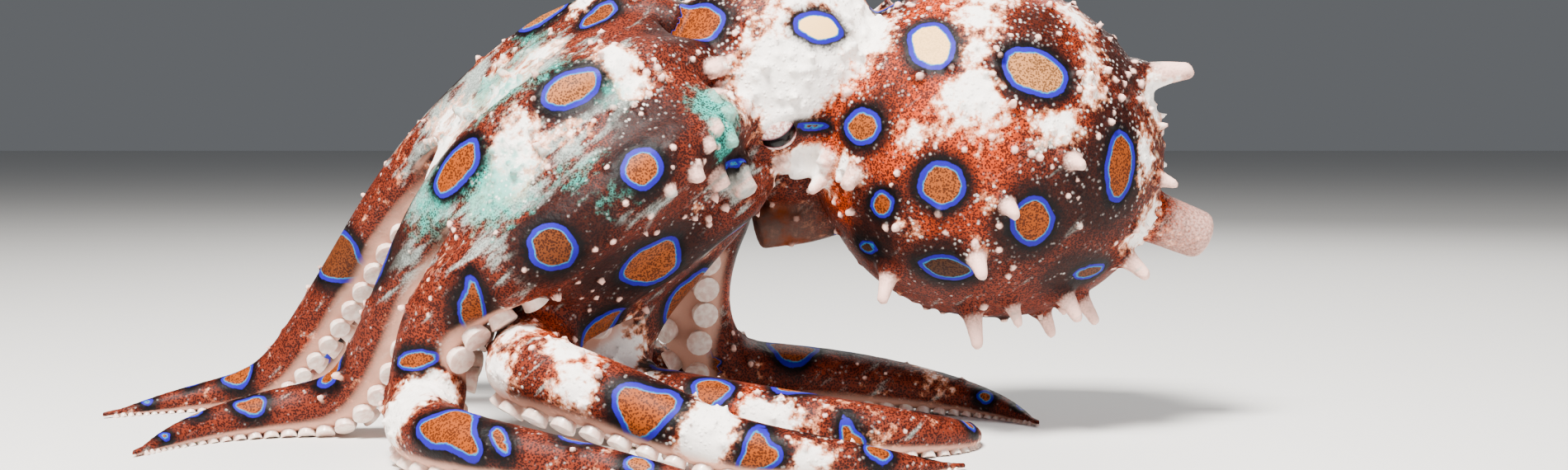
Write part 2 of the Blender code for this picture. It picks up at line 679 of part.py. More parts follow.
def make_web(name, one, two, parts, material):
    """The skin between two neighbouring arms, from where they part to its hanging edge."""
    root = 0.03
    hands = web_side(one, two, 2 * root), web_side(two, one, 2 * root)
    inner = WEB_ANGLES[1]

    def feet(share, angles):
        return (web_foot(one, two, share, hands[0], *angles), web_foot(two, one, share, hands[1], *angles))

    while (feet(root, inner)[0] - feet(root, inner)[1]).length < WEB_LEAST_WIDTH:
        root += 0.01
    work = bmesh.new()
    sheets = []
    for angles in WEB_ANGLES:
        sheet = []
        for row in range(WEB_ROWS):
            line = []
            for column in range(WEB_COLUMNS):
                t = column / (WEB_COLUMNS - 1)
                edge = one.web_share * (1 - t) + two.web_share * t
                edge *= 1 - WEB_EDGE_SAG * math.sin(math.pi * t)
                edge = root + (edge - root) * WEB_REACH.get(name, 1.0)
                share = root + (edge - root) * row / (WEB_ROWS - 1)
                start, end = feet(share, angles)
                line.append(work.verts.new(start.lerp(end, t)))
            sheet.append(line)
        sheets.append(sheet)
    rim = []
    for sheet in sheets:
        for low, high in zip(sheet, sheet[1:]):
            for a, b, c, d in zip(low, low[1:], high[1:], high):
                work.faces.new((a, b, c))
                work.faces.new((a, c, d))
        last = [line[-1] for line in sheet[1:]]
        first = [line[0] for line in sheet[-2:0:-1]]
        ends = [*sheet[0], *last, *sheet[-1][-2::-1], *first]
        rim.append(ends)
    for k in range(len(rim[0])):
        n = (k + 1) % len(rim[0])
        work.faces.new((rim[0][k], rim[0][n], rim[1][n], rim[1][k]))
    return object_from(name, work, parts, material)


def make_arm(arm, parts, helpers, material, swollen_head):
    """The lengths of one arm, each with its suckers, and the base cut clear of the head."""
    made = []
    names = ("base", "middle", "tip")
    seam = GAP / 2 / arm.length
    for name, (start, end, sections) in zip(names, arm.stretches()):
        low = start + seam if start > 0 else start
        high = end - seam if end < 1 else end
        length = object_from(f"{arm.name}_{name}", arm.tube(low, high, sections), parts, material)
        cups = []
        for k in range(SUCKERS_PER_ARM):
            share = SUCKER_FIRST + SUCKER_SPAN * (k / (SUCKERS_PER_ARM - 1)) ** SUCKER_CROWDING
            room = SUCKER_ROOM_SHARE * sucker_radius(arm.radius(share)) / arm.length
            if low + room < share < high - room:
                cups.append(sucker(arm, share, 1 if k % 2 else -1, helpers))
        if cups:
            boolean(length, "UNION", cups)
        if name == "base":
            boolean(length, "DIFFERENCE", copies(swollen_head, helpers))
        made.append(length)
    return made


def cut_at_floor(item, helpers):
    """Flats at floor level where suckers and skin rest."""
    if min(vertex.co.z for vertex in item.data.vertices) >= 0.0:
        return
    work = bmesh.new()
    bmesh.ops.create_cube(work, size=1.0)
    for vertex in work.verts:
        x, y, z = vertex.co
        vertex.co = Vector((x * FLOOR_WIDTH, y * FLOOR_WIDTH, (z - 0.5) * FLOOR_DEPTH))
    boolean(item, "DIFFERENCE", [object_from("floor", work, helpers)])


def place_on_origin(items):
    """Brings the finished pieces to metres, with the origin under the middle of the whole."""
    corners = [vertex.co for item in items for vertex in item.data.vertices]
    low = Vector([min(c[k] for c in corners) for k in range(3)])
    high = Vector([max(c[k] for c in corners) for k in range(3)])
    shift = Vector((-(low.x + high.x) / 2, -(low.y + high.y) / 2, -low.z))
    for item in items:
        for vertex in item.data.vertices:
            vertex.co = (vertex.co + shift) * TO_METRES
        item.data.shade_smooth()
        item.data.set_sharp_from_angle(angle=math.radians(50))


def main():
    clear_scene()
    parts = new_collection("blue_ringed_octopus")
    helpers = new_collection("cutters")
    mantle_skin = new_material("mantle_skin", (0.45, 0.12, 0.05), 0.45)
    head_skin = new_material("head_skin", (0.80, 0.66, 0.56), 0.45)
    arm_skin = new_material("arm_skin", (0.72, 0.50, 0.38), 0.45)
    web_skin = new_material("web_skin", (0.50, 0.46, 0.42), 0.45)
    funnel_skin = new_material("funnel_skin", (0.42, 0.25, 0.18), 0.45)
    eye_wet = new_material("eye_wet", (0.02, 0.015, 0.01), 0.15)

    mantle = make_mantle(parts, helpers, mantle_skin)
    eyes = [make_eye("eye_left", 1, parts, eye_wet), make_eye("eye_right", -1, parts, eye_wet)]
    head, swollen_head = make_head(parts, helpers, head_skin, eyes, mantle)
    swollen_mantle = grown(mantle, helpers)
    funnel = make_funnel(parts, helpers, funnel_skin, (swollen_mantle, *swollen_head))
    made = [mantle, *eyes, head, funnel]

    arms = [Arm(name) for name in ARMS]
    keep_apart(arms)
    lengths = {arm.name: make_arm(arm, parts, helpers, arm_skin, swollen_head) for arm in arms}
    for one, two in zip(arms, arms[1:] + arms[:1]):
        name = "web_" + one.name[4:] + "_" + two.name[4:]
        web = make_web(name, one, two, parts, web_skin)
        near = [arm.tube(*stretch, GAP * 0.7) for arm in (one, two) for stretch in arm.stretches()[:2]]
        boolean(web, "DIFFERENCE", [object_from("arm_cutter", work, helpers) for work in near])
        boolean(web, "DIFFERENCE", copies(swollen_head, helpers))
        made.append(web)
    for pieces in lengths.values():
        made.extend(pieces)
    for item in made:
        cut_at_floor(item, helpers)
    for item in list(helpers.objects):
        bpy.data.objects.remove(item)
    place_on_origin(made)


main()
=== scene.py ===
import math

import bpy
import numpy as np
from mathutils import Matrix, Vector
from mathutils.kdtree import KDTree


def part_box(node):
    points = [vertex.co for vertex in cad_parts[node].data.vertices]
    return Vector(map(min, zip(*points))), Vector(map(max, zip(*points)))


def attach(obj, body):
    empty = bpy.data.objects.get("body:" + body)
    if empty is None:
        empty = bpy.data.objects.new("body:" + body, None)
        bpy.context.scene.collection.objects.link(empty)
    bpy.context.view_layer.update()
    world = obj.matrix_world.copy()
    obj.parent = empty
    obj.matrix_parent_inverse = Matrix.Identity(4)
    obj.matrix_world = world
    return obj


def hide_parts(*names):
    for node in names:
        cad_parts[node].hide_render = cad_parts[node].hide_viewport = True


# A blue-ringed octopus at life size. Places and sizes are in millimetres and are brought to metres
# when a piece is made. The left side faces -Y and the mantle lies towards +X.

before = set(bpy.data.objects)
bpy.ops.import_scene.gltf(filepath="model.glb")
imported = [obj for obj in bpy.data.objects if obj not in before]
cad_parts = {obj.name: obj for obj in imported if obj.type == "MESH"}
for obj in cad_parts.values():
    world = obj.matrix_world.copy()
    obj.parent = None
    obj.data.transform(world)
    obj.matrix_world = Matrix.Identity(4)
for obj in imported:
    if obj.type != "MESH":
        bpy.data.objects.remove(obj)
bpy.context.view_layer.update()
print("frame loaded")

mm = 0.001

mantle = {
    "centre": (24.0, 3.0, 35.0),
    "tailward": (0.92, 0.16, -0.36),
    "halfSizes": (23.0, 20.5, 17.5),  # along, high, wide
    "neckTaper": 0.22,
    "tailLength": 9.5,
    "tailRadius": 3.5,
    "tailSunk": 1.0,  # how far the tail point's foot lies inside
    "papillaLean": 0.3,  # of the papillae, towards the tail
}

head = {
    "centre": (-2.0, 0.5, 44.5),
    "forward": (-0.88, 0.0, -0.47),
    "halfSizes": (14.5, 12.5, 11.5),
    "roll": 50.0,  # degrees, the back leaning towards the left side
    "crownAhead": 7.0,
    "crownRadius": 9.4,
    "crownRoll": 46.0,
    "lipRadius": 2.4,
    "lipThickness": 0.9,
    "lipSunk": 0.2,
}

eye = {
    "fromBack": 80.0,  # degrees round the head from the midline of the back
    "radius": 3.3,
    "out": 9.4,
    "along": 2.4,
    "turretRadius": 5.4,
    "turretOut": 7.0,
    "lidRadius": 3.3,
    "lidThickness": 1.0,
    "lidOut": 1.6,  # further out than the eye's centre
    "lidLengthened": 1.15,
    "lidNarrowed": 0.72,
}

funnel = {
    "path": ((14.0, 9.5, 34.0), (8.0, 9.8, 29.5), (2.5, 9.2, 26.4), (-3.5, 8.2, 24.8)),
    "rootRadius": 6.4,
    "endRadius": 2.6,
    "boreRadius": 1.8,
    "boreDepth": 5.0,
    "rows": 24,
    "narrows": (-0.2, 1.1),  # shares of the path between which it narrows
    "toneReach": (2.8, 4.6),  # mm from its middle line where its own tone is full, and gone
    "foldCentre": (0.5, 7.5, 33.2),  # flesh between the funnel and the head
    "foldRadius": 5.4,
}

armForm = {
    "radius": 5.2,
    "crownShare": 0.66,  # of the full radius where an arm leaves the crown
    "crownGrowth": 2.0,  # full radii over the arm's length, until the full radius is reached
    "taper": (2.8, 0.85),  # powers of the share along the arm, and of what that leaves
    "tipRadius": 0.6,
    "undersideFlatness": 0.86,
    "spacing": 45.0,  # degrees round the crown
    "apart": 0.9,
    "easeRounds": 14,
    "easeWindow": 9,
    "rootHold": 0.1,
    "floorSink": 0.35,
    "cupsClear": 0.9,  # of a sucker's height, kept between the floor and the arm
    "turnsDown": (0.12, 0.5),  # shares along an arm between which its underside turns to the floor
    "suckerShare": 0.35,
    "suckerLeastRadius": 0.45,
    "suckerHeightShare": 0.75,
    "suckerAngle": 27.0,
}

# How each arm leaves the crown, counted in steps from the midline of the back, how far the web
# runs along it, and where it goes.
arms = {
    "arm_left_1": (0.5, 0.42, (
        (-15, -11, 45), (-21, -13, 42), (-27, -13.5, 38.5), (-33, -12.5, 34), (-38, -10, 28.5),
        (-42, -7, 22), (-46, -4, 14), (-51, -1, 6), (-58, 1, 0), (-66, -2, 0), (-72, -9, 0),
        (-74, -17, 0))),
    "arm_left_2": (1.5, 0.46, (
        (-9, -15, 37.5), (-14, -18, 33.5), (-20, -19.5, 29), (-26, -19.5, 24.5), (-31.5, -18, 20),
        (-36.5, -15.5, 15), (-40, -14.5, 8.5), (-41, -18, 2), (-39.5, -25.5, 0), (-34, -31.5, 0),
        (-26, -35, 0), (-18, -37.5, 0), (-10, -39.5, 0), (-2, -41.5, 0))),
    "arm_left_3": (2.5, 0.36, (
        (-5.5, -8.5, 31.5), (-11.5, -9, 27), (-18, -9, 22.5), (-24.5, -9.5, 18.5), (-30, -11.5, 15),
        (-32, -17, 12.5), (-28.5, -22.5, 10.5), (-22, -26, 9), (-15.5, -28.5, 7), (-8.5, -30.5, 4),
        (-1.5, -32, 1), (6.5, -32, 0), (14, -30, 0), (20, -25, 0))),
    "arm_left_4": (3.5, 0.30, (
        (-6, 3, 29.5), (-12.5, 1.5, 24), (-18.5, 0.5, 17.5), (-21.5, -1, 10.5), (-19.5, -5, 4),
        (-13, -10.5, 0), (-5, -14.5, 0), (3, -17, 0), (11, -17.5, 0), (18.5, -14.5, 0), (23, -8, 0),
        (22, -1, 0))),
    "arm_right_4": (-3.5, 0.30, (
        (-6, 13.5, 33), (-9.5, 17, 26.5), (-12, 19.5, 19), (-12, 21.5, 11.5), (-8, 23, 4.5),
        (-1, 24, 0), (7, 24.5, 0), (15, 22.5, 0), (22.5, 19, 0), (29, 14, 0), (32, 7, 0))),
    "arm_right_3": (-2.5, 0.36, (
        (-12, 16, 41), (-17, 21.5, 36), (-22, 26, 29.5), (-26, 29.5, 22), (-28, 33, 14),
        (-26.5, 37, 6), (-21, 41, 0), (-13.5, 43.5, 0), (-5.5, 43, 0), (1, 38.5, 0), (3, 31.5, 0))),
    "arm_right_2": (-1.5, 0.42, (
        (-16.5, 10, 49), (-23.5, 15.5, 46), (-31, 20.5, 41), (-38, 25, 35.5), (-45, 29, 29),
        (-51.5, 32.5, 21.5), (-57, 36, 13.5), (-62, 39, 5.5), (-66.5, 44, 0), (-69, 51, 0),
        (-67.5, 58, 0), (-62.5, 62, 0))),
    "arm_right_1": (-0.5, 0.42, (
        (-17, -1, 51), (-24, 2, 48.5), (-31, 5, 44.5), (-37.5, 8, 39.5), (-44, 11.5, 33.5),
        (-50, 15, 26.5), (-55.5, 18.5, 19), (-61.5, 21, 11), (-68.5, 22.5, 3), (-76, 22.5, 0),
        (-83, 19.5, 0), (-88, 14.5, 0))),
}

web = {
    "root": 0.03,
    "edgeSag": 0.2,
    "angles": ((62.0, 112.0), (40.0, 92.0)),  # outer and inner sheet: from facing, least from below
    "angleRange": 55.0,
    "rows": 28,
    "columns": 10,
    "clearance": 0.35,
    "reach": {("arm_left_4", "arm_right_4"): 0.7},
}

skinForm = {
    "voxel": 0.38,  # mm
    "smoothing": 8,
    "lastSmoothing": 2,
    "trianglesAtMost": 284000,  # after the thinning away from the rings
    "mostKept": 190000,  # after the even thinning that follows
    "fineAround": 0.6,  # mm round a ring that stays fine
    "ringWeight": 0.6,
    "armFade": (0.6, 3.0),  # mm from an arm's surface over which the tone of its underside fades
}


# Directions and curves of the body.


def across(vector, direction):
    return (vector - direction * vector.dot(direction)).normalized()


def bodySide(forward, degrees):
    # square to forward: 90 is up, 0 is towards the viewer's side
    near = across(Vector((0.0, -1.0, 0.0)), forward)
    up = across(across(Vector((0.0, 0.0, 1.0)), forward), near)
    angle = math.radians(degrees)
    return near * math.cos(angle) + up * math.sin(angle)


def smoothStep(low, high, value):
    t = min(max((value - low) / (high - low), 0.0), 1.0)
    return t * t * (3 - 2 * t)


mantleTailward = Vector(mantle["tailward"]).normalized()
headForward = Vector(head["forward"]).normalized()
headCentre = Vector(head["centre"])
crownCentre = headCentre + headForward * head["crownAhead"]
mantleBody = (Vector(mantle["centre"]), -mantleTailward, mantle["halfSizes"], mantle["neckTaper"])
headBody = (headCentre, headForward, head["halfSizes"], 0.0)


def eyeDirection(side):
    return bodySide(headForward, 90.0 - head["roll"] - side * eye["fromBack"])


def eyeCentre(side):
    return headCentre + headForward * eye["along"] + eyeDirection(side) * eye["out"]


low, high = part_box("eye_left")
shift = (low + high) / (2 * mm) - eyeCentre(1)


def place(point):
    return (Vector(point) + shift) * mm


def eggPoint(body, share, degrees):
    # share 0 to 1 along the body, degrees round it from the top to the left side
    centre, forward, half, taper = body
    near, up = bodySide(forward, 0.0), bodySide(forward, 90.0)
    along = 1.0 - 2.0 * share
    ring = math.sqrt(max(1.0 - along * along, 0.0))
    ring *= 1.0 - taper * smoothStep(0.0, 1.0, along) * along
    angle = math.radians(degrees)
    wide = near * (math.sin(angle) * half[2]) + up * (math.cos(angle) * half[1])
    return centre + forward * (along * half[0]) + wide * ring


def eggNormal(body, share, degrees):
    step = 0.01
    low, high = max(share - step, 0.001), min(share + step, 0.999)
    along = eggPoint(body, high, degrees) - eggPoint(body, low, degrees)
    roundIt = eggPoint(body, share, degrees + 1.0) - eggPoint(body, share, degrees - 1.0)
    out = along.cross(roundIt).normalized()
    return out if out.dot(eggPoint(body, share, degrees) - body[0]) > 0 else -out


def smoothPath(points, count):
    ends = [points[0] * 2 - points[1], *points, points[-1] * 2 - points[-2]]
    fine, steps = [], 24
    for a, b, c, d in zip(ends, ends[1:], ends[2:], ends[3:]):
        for k in range(steps):
            t = k / steps
            fine.append(0.5 * (2 * b + (c - a) * t + (2 * a - 5 * b + 4 * c - d) * t**2
                               + (3 * b - a - 3 * c + d) * t**3))
    fine.append(points[-1].copy())
    walked = [0.0]
    for a, b in zip(fine, fine[1:]):
        walked.append(walked[-1] + (b - a).length)
    even, k = [], 0
    for i in range(count):
        target = walked[-1] * i / (count - 1)
        while k < len(walked) - 2 and walked[k + 1] < target:
            k += 1
        share = (target - walked[k]) / max(walked[k + 1] - walked[k], 1e-9)
        even.append(fine[k].lerp(fine[k + 1], min(share, 1.0)))
    return even


class Arm:
    samples = 241

    def __init__(self, name):
        steps, self.webShare, route = arms[name]
        self.name = name
        turn = 90.0 - head["crownRoll"] - steps * armForm["spacing"]
        out = bodySide(headForward, turn)
        self.inward = -out
        root = crownCentre + out * head["crownRadius"]
        self.points = smoothPath([root, *map(Vector, route)], self.samples)
        last = self.samples - 1
        self.radii = np.array([self.radius(k / last) for k in range(self.samples)])
        self.stayAboveFloor()

    def radius(self, share):
        swell = min(1.0, armForm["crownShare"] + armForm["crownGrowth"] * share)
        power, last = armForm["taper"]
        taper = max(1.0 - share**power, 0.0) ** last
        return max(armForm["radius"] * swell * taper, armForm["tipRadius"])

    def stayAboveFloor(self):
        for point, radius in zip(self.points, self.radii):
            cup = suckerRadius(radius) * armForm["suckerHeightShare"] * armForm["cupsClear"]
            lowest = radius * armForm["undersideFlatness"] + cup - armForm["floorSink"]
            point.z = max(point.z, lowest)

    def at(self, share):
        spot = min(max(share, 0.0), 1.0) * (self.samples - 1)
        k = min(int(spot), self.samples - 2)
        centre = self.points[k].lerp(self.points[k + 1], spot - k)
        ahead = self.points[min(k + 5, self.samples - 1)]
        along = (ahead - self.points[max(k - 4, 0)]).normalized()
        down = smoothStep(*armForm["turnsDown"], share)
        under = across(self.inward * (1 - down) + Vector((0.0, 0.0, -1.0)) * down, along)
        return centre, along, under, along.cross(under)

    def surface(self, share, degrees):
        # the point and outward direction at an angle from the middle of the underside
        centre, _, under, side = self.at(share)
        angle = math.radians(degrees)
        flat = armForm["undersideFlatness"] if math.cos(angle) > 0 else 1.0
        out = under * (math.cos(angle) * flat) + side * math.sin(angle)
        return centre + out * self.radius(share), out.normalized()


def suckerRadius(armRadius):
    return max(armRadius * armForm["suckerShare"], armForm["suckerLeastRadius"])


def softened(rows, window):
    half = window // 2
    wide = np.pad(rows, ((half, half), (0, 0)), mode="reflect", reflect_type="odd")
    share = np.ones(window) / window
    return np.stack([np.convolve(wide[:, k], share, "valid") for k in range(3)], axis=1)


def keepApart(limbs):
    # eases the bends, and moves the arms away from each other wherever they would touch
    for _ in range(armForm["easeRounds"]):
        places = [np.array([tuple(point) for point in limb.points]) for limb in limbs]
        moves = [np.zeros_like(spot) for spot in places]
        for k in range(len(limbs)):
            for n in range(k + 1, len(limbs)):
                reach = places[n][None] - places[k][:, None]
                distance = np.linalg.norm(reach, axis=2)
                short = limbs[k].radii[:, None] + limbs[n].radii[None] + armForm["apart"] - distance
                for i in np.nonzero(short.max(axis=1) > 0)[0]:
                    j = int(short[i].argmax())
                    push = reach[i, j] / max(distance[i, j], 0.1) * short[i, j] * 0.5
                    moves[k][i] -= push
                    moves[n][j] += push
        for limb, spot, move in zip(limbs, places, moves):
            held = np.linspace(0.0, 1.0, limb.samples)[:, None]
            move *= np.clip(held / armForm["rootHold"], 0.0, 1.0)
            eased = softened(spot + softened(move, 2 * armForm["easeWindow"] + 1), armForm["easeWindow"])
            limb.points = [Vector(point) for point in eased]
            limb.stayAboveFloor()


limbs = [Arm(name) for name in arms]
keepApart(limbs)
print("arms laid out")


# Making and joining pieces.


def deselectAll():
    for item in bpy.context.selected_objects:
        item.select_set(False)


def choose(*items):
    deselectAll()
    for item in items:
        item.select_set(True)
    bpy.context.view_layer.objects.active = items[0]


def named(name):
    made = bpy.context.object
    made.name = name
    made.data.name = name
    return made


def applyAll(item):
    choose(item)
    for modifier in list(item.modifiers):
        bpy.ops.object.modifier_apply(modifier=modifier.name)
    return item


def joined(items, name):
    choose(*items)
    bpy.ops.object.join()
    return named(name)


def corners(item):
    flat = np.empty(len(item.data.vertices) * 3, np.float32)
    item.data.vertices.foreach_get("co", flat)
    return flat.reshape(-1, 3).astype(float)


def setCorners(item, points):
    item.data.vertices.foreach_set("co", np.asarray(points, np.float32).ravel())
    item.data.update()


def faceOut(item):
    choose(item)
    bpy.ops.object.mode_set(mode="EDIT")
    bpy.ops.mesh.select_all(action="SELECT")
    bpy.ops.mesh.normals_make_consistent(inside=False)
    bpy.ops.object.mode_set(mode="OBJECT")
    return item


def linked(name, data):
    made = bpy.data.objects.new(name, data)
    bpy.context.scene.collection.objects.link(made)
    return made


def upTo(out):
    # the turn that brings +Z to a direction
    return Vector((0.0, 0.0, 1.0)).rotation_difference(out).to_matrix().to_4x4()


def stand(item, foot, out):
    item.data.transform(Matrix.Translation(place(foot)) @ upTo(out))


def ball(name, centre, radius, out, segments=32, rings=20):
    deselectAll()
    bpy.ops.mesh.primitive_uv_sphere_add(segments=segments, ring_count=rings, radius=radius * mm)
    made = named(name)
    stand(made, centre, out)
    return made


def egg(name, body, segments=72, rings=48):
    deselectAll()
    bpy.ops.mesh.primitive_uv_sphere_add(segments=segments, ring_count=rings, radius=1.0)
    made = named(name)
    shaped = []
    for x, y, z in corners(made):
        shaped.append(place(eggPoint(body, 0.5 - 0.5 * z, math.degrees(math.atan2(x, y)))))
    setCorners(made, shaped)
    return faceOut(made)


def tube(name, points, radii, roundness=6):
    line = bpy.data.curves.new(name, "CURVE")
    line.dimensions = "3D"
    line.bevel_depth = 1.0
    line.bevel_resolution = roundness
    line.use_fill_caps = True
    spline = line.splines.new("POLY")
    spline.points.add(len(points) - 1)
    for spot, point, radius in zip(spline.points, points, radii):
        spot.co = (*place(point), 1.0)
        spot.radius = radius * mm
    choose(linked(name, line))
    bpy.ops.object.convert(target="MESH")
    return named(name)


def armTube(limb):
    made = tube(limb.name, limb.points, limb.radii)
    tree = KDTree(limb.samples)
    for k, point in enumerate(limb.points):
        tree.insert(place(point), k)
    tree.balance()
    squeeze = 1 - armForm["undersideFlatness"]
    unders = [limb.at(k / (limb.samples - 1))[2] for k in range(limb.samples)]
    moved = []
    for corner in corners(made):
        point = Vector(corner)
        centre, k, _ = tree.find(point)
        below = max((point - centre).dot(unders[k]), 0.0)
        moved.append(point - unders[k] * (below * squeeze))
    setCorners(made, moved)
    return faceOut(made)


def torus(name, centre, out, longWay, major, minor, lengthened=1.0, narrowed=1.0):
    deselectAll()
    bpy.ops.mesh.primitive_torus_add(
        major_segments=48, minor_segments=14, major_radius=major * mm, minor_radius=minor * mm)
    made = named(name)
    shortWay = out.cross(longWay)
    frameOf = Matrix((longWay * lengthened, shortWay * narrowed, out)).transposed().to_4x4()
    made.data.transform(Matrix.Translation(place(centre)) @ frameOf)
    return faceOut(made)


# Papillae are soft spikes. A stop gives the height as a share of the length, and the width as a share
# of the foot's: first what all have, then what is multiplied by the bluntness.
papillaForm = {
    "stops": (
        (-0.45, 1.4, 0.0), (0.02, 1.12, 0.0), (0.2, 0.5, 0.5), (0.5, 0.25, 0.75),
        (0.88, 0.0, 1.0), (0.94, 0.0, 0.86), (0.98, 0.0, 0.6), (1.0, 0.0, 0.25)),
    # droop, bluntness, sides, share of paleReach, and shares of the length that are pale
    "mantle": (0.15, 0.45, 16, 0.75, (0.45, 0.7, 0.95)),
    "tail": (0.0, 0.86, 24, 0.8, (0.45, 0.65, 0.85, 1.0)),
    "head": (0.2, 0.6, 16, 0.8, (0.4, 0.8)),
    "lobe": (0.0, 0.95, 14, 1.0, (0.2, 0.5, 0.8)),
    "paleReach": 1.25,  # how far round its middle line a papilla is pale, of its radius
    "lobeSag": 1.1,  # how much further down than outwards the lobes point
}


def papilla(foot, out, length, radius, droop, blunt, sides):
    stops = [(height, same + grown * blunt) for height, same, grown in papillaForm["stops"]]
    deselectAll()
    bpy.ops.mesh.primitive_circle_add(vertices=sides, radius=radius * stops[0][1] * mm, fill_type="NGON")
    made = named("papilla")
    bpy.ops.object.mode_set(mode="EDIT")
    bpy.ops.mesh.select_all(action="SELECT")
    for (lastHeight, lastWidth), (height, width) in zip(stops, stops[1:]):
        rise = (height - lastHeight) * length * mm
        bpy.ops.mesh.extrude_region_move(TRANSFORM_OT_translate={"value": (0.0, 0.0, rise)})
        bpy.ops.transform.resize(value=(width / lastWidth, width / lastWidth, 1.0))
    bpy.ops.object.mode_set(mode="OBJECT")
    points = corners(made)
    points[:, 2] += stops[0][0] * length * mm
    setCorners(made, points)
    stand(made, foot, out)
    points = corners(made)
    beyond = np.clip((points - np.array(place(foot))) @ np.array(out), 0.0, None) / mm
    points[:, 2] -= droop * beyond**2 / length * mm
    setCorners(made, points)
    return faceOut(made)


def webSide(one, two, share):
    centre, _, _, side = one.at(share)
    return 1.0 if (two.at(share)[0] - centre).dot(side) > 0 else -1.0


def webFoot(one, two, share, hand, degrees, least):
    # where the web meets an arm: round it from the side that faces its neighbour towards its back
    centre, along, under, side = one.at(share)
    facing = across(two.at(share)[0] - centre, along)
    turn = math.degrees(math.atan2(facing.dot(side) * hand, facing.dot(under)))
    angle = math.radians(min(max(turn + degrees, least), least + web["angleRange"]))
    out = under * math.cos(angle) + side * (math.sin(angle) * hand)
    return centre + out * (one.radius(share) - web["clearance"])


def webSheet(one, two):
    name = "web_" + one.name[4:] + "_" + two.name[4:]
    root = web["root"]
    hands = webSide(one, two, 2 * root), webSide(two, one, 2 * root)
    reach = web["reach"].get((one.name, two.name), 1.0)
    rows, columns = web["rows"], web["columns"]
    places = []
    for angles in web["angles"]:
        for row in range(rows):
            for column in range(columns):
                t = column / (columns - 1)
                edge = one.webShare * (1 - t) + two.webShare * t
                edge *= 1 - web["edgeSag"] * math.sin(math.pi * t)
                edge = root + (edge - root) * reach
                share = root + (edge - root) * row / (rows - 1)
                start = webFoot(one, two, share, hands[0], *angles)
                end = webFoot(two, one, share, hands[1], *angles)
                places.append(place(start.lerp(end, t)))
    faces, sheet = [], rows * columns
    for side in (0, sheet):
        for row in range(rows - 1):
            for column in range(columns - 1):
                k = side + row * columns + column
                faces.append((k, k + 1, k + columns + 1, k + columns))
    last = sheet - columns
    rim = [*range(columns), *range(2 * columns - 1, sheet, columns)]
    rim += [*range(sheet - 2, last - 1, -1), *range(last - columns, 0, -columns)]
    for k, n in zip(rim, rim[1:] + rim[:1]):
        faces.append((k, n, n + sheet, k + sheet))
    mesh = bpy.data.meshes.new(name)
    mesh.from_pydata(places, [], faces)
    return faceOut(linked(name, mesh))


def funnelPipe():
    path = smoothPath([Vector(point) for point in funnel["path"]], funnel["rows"])
    change, last = funnel["endRadius"] - funnel["rootRadius"], len(path) - 1
    narrowed = [smoothStep(*funnel["narrows"], k / last) for k in range(len(path))]
    made = tube("funnel_pipe", path, [funnel["rootRadius"] + change * k for k in narrowed], roundness=8)
    axis = (path[-1] - path[-2]).normalized()
    for face in made.data.polygons:  # the end is chosen by its place and normal
        near = (Vector(face.center) - place(path[-1])).length < 0.4 * mm
        face.select = near and abs(Vector(face.normal).dot(axis)) > 0.9
    bpy.ops.object.mode_set(mode="EDIT")
    bpy.ops.mesh.inset(thickness=(funnel["endRadius"] - funnel["boreRadius"]) * mm)
    inward = -axis * funnel["boreDepth"] * mm
    bpy.ops.mesh.extrude_region_move(TRANSFORM_OT_translate={"value": tuple(inward)})
    bpy.ops.object.mode_set(mode="OBJECT")
    return faceOut(made)


# The skin: one closed surface over mantle, head, arms and web.

# Share of the mantle's or head's length from the neck, degrees round it from the top towards the left
# side, length and radius at the foot.
mantlePapillae = (
    (0.80, 26, 6.5, 2.4), (0.51, 126, 3.4, 1.7), (0.36, 156, 3.8, 1.6), (0.80, 141, 3.6, 1.7),
    (0.92, 122, 3.8, 1.7), (0.63, 84, 2.6, 1.5), (0.52, 105, 2.8, 1.5), (0.60, 157, 4.4, 1.7),
    (0.86, 150, 3.8, 1.5), (0.68, 147, 2.8, 1.3), (0.12, 150, 3.0, 1.5), (0.93, 66, 2.4, 1.3),
    (0.62, -25, 3.2, 1.5), (0.85, -60, 4.5, 1.8), (0.62, -95, 4.2, 1.6), (0.40, -70, 3.2, 1.4),
    (0.75, -135, 4.2, 1.6), (0.45, -130, 3.6, 1.4), (0.82, 178, 3.4, 1.5),
)
headPapillae = (
    (0.72, 92, 3.0, 1.7), (0.76, 108, 2.6, 1.5), (0.66, 78, 2.4, 1.4), (0.50, 20, 2.2, 1.4),
    (0.62, -4, 2.6, 1.5), (0.45, -60, 2.6, 1.5),
)


def remeshed(item, voxel, rounds):
    remesh = item.modifiers.new("Remesh", "REMESH")
    remesh.mode = "VOXEL"
    remesh.voxel_size = voxel * mm
    soften = item.modifiers.new("Smooth", "SMOOTH")
    soften.factor = 0.5
    soften.iterations = rounds
    return applyAll(item)


flesh = [egg("mantle_bag", mantleBody), egg("head_ball", headBody), funnelPipe()]
for side in (1, -1):
    out = eyeDirection(side)
    middle = headCentre + headForward * eye["along"]
    flesh.append(ball("turret", middle + out * eye["turretOut"], eye["turretRadius"], out))
flesh.append(ball("neck_fold", Vector(funnel["foldCentre"]), funnel["foldRadius"], mantleTailward))
flesh += [armTube(limb) for limb in limbs]
flesh += [webSheet(one, two) for one, two in zip(limbs, limbs[1:] + limbs[:1])]
skin = remeshed(joined(flesh, "octopus_skin"), skinForm["voxel"], skinForm["smoothing"])
print("flesh joined", len(skin.data.polygons), "faces")


# The camera, at the height and distance of the photograph.

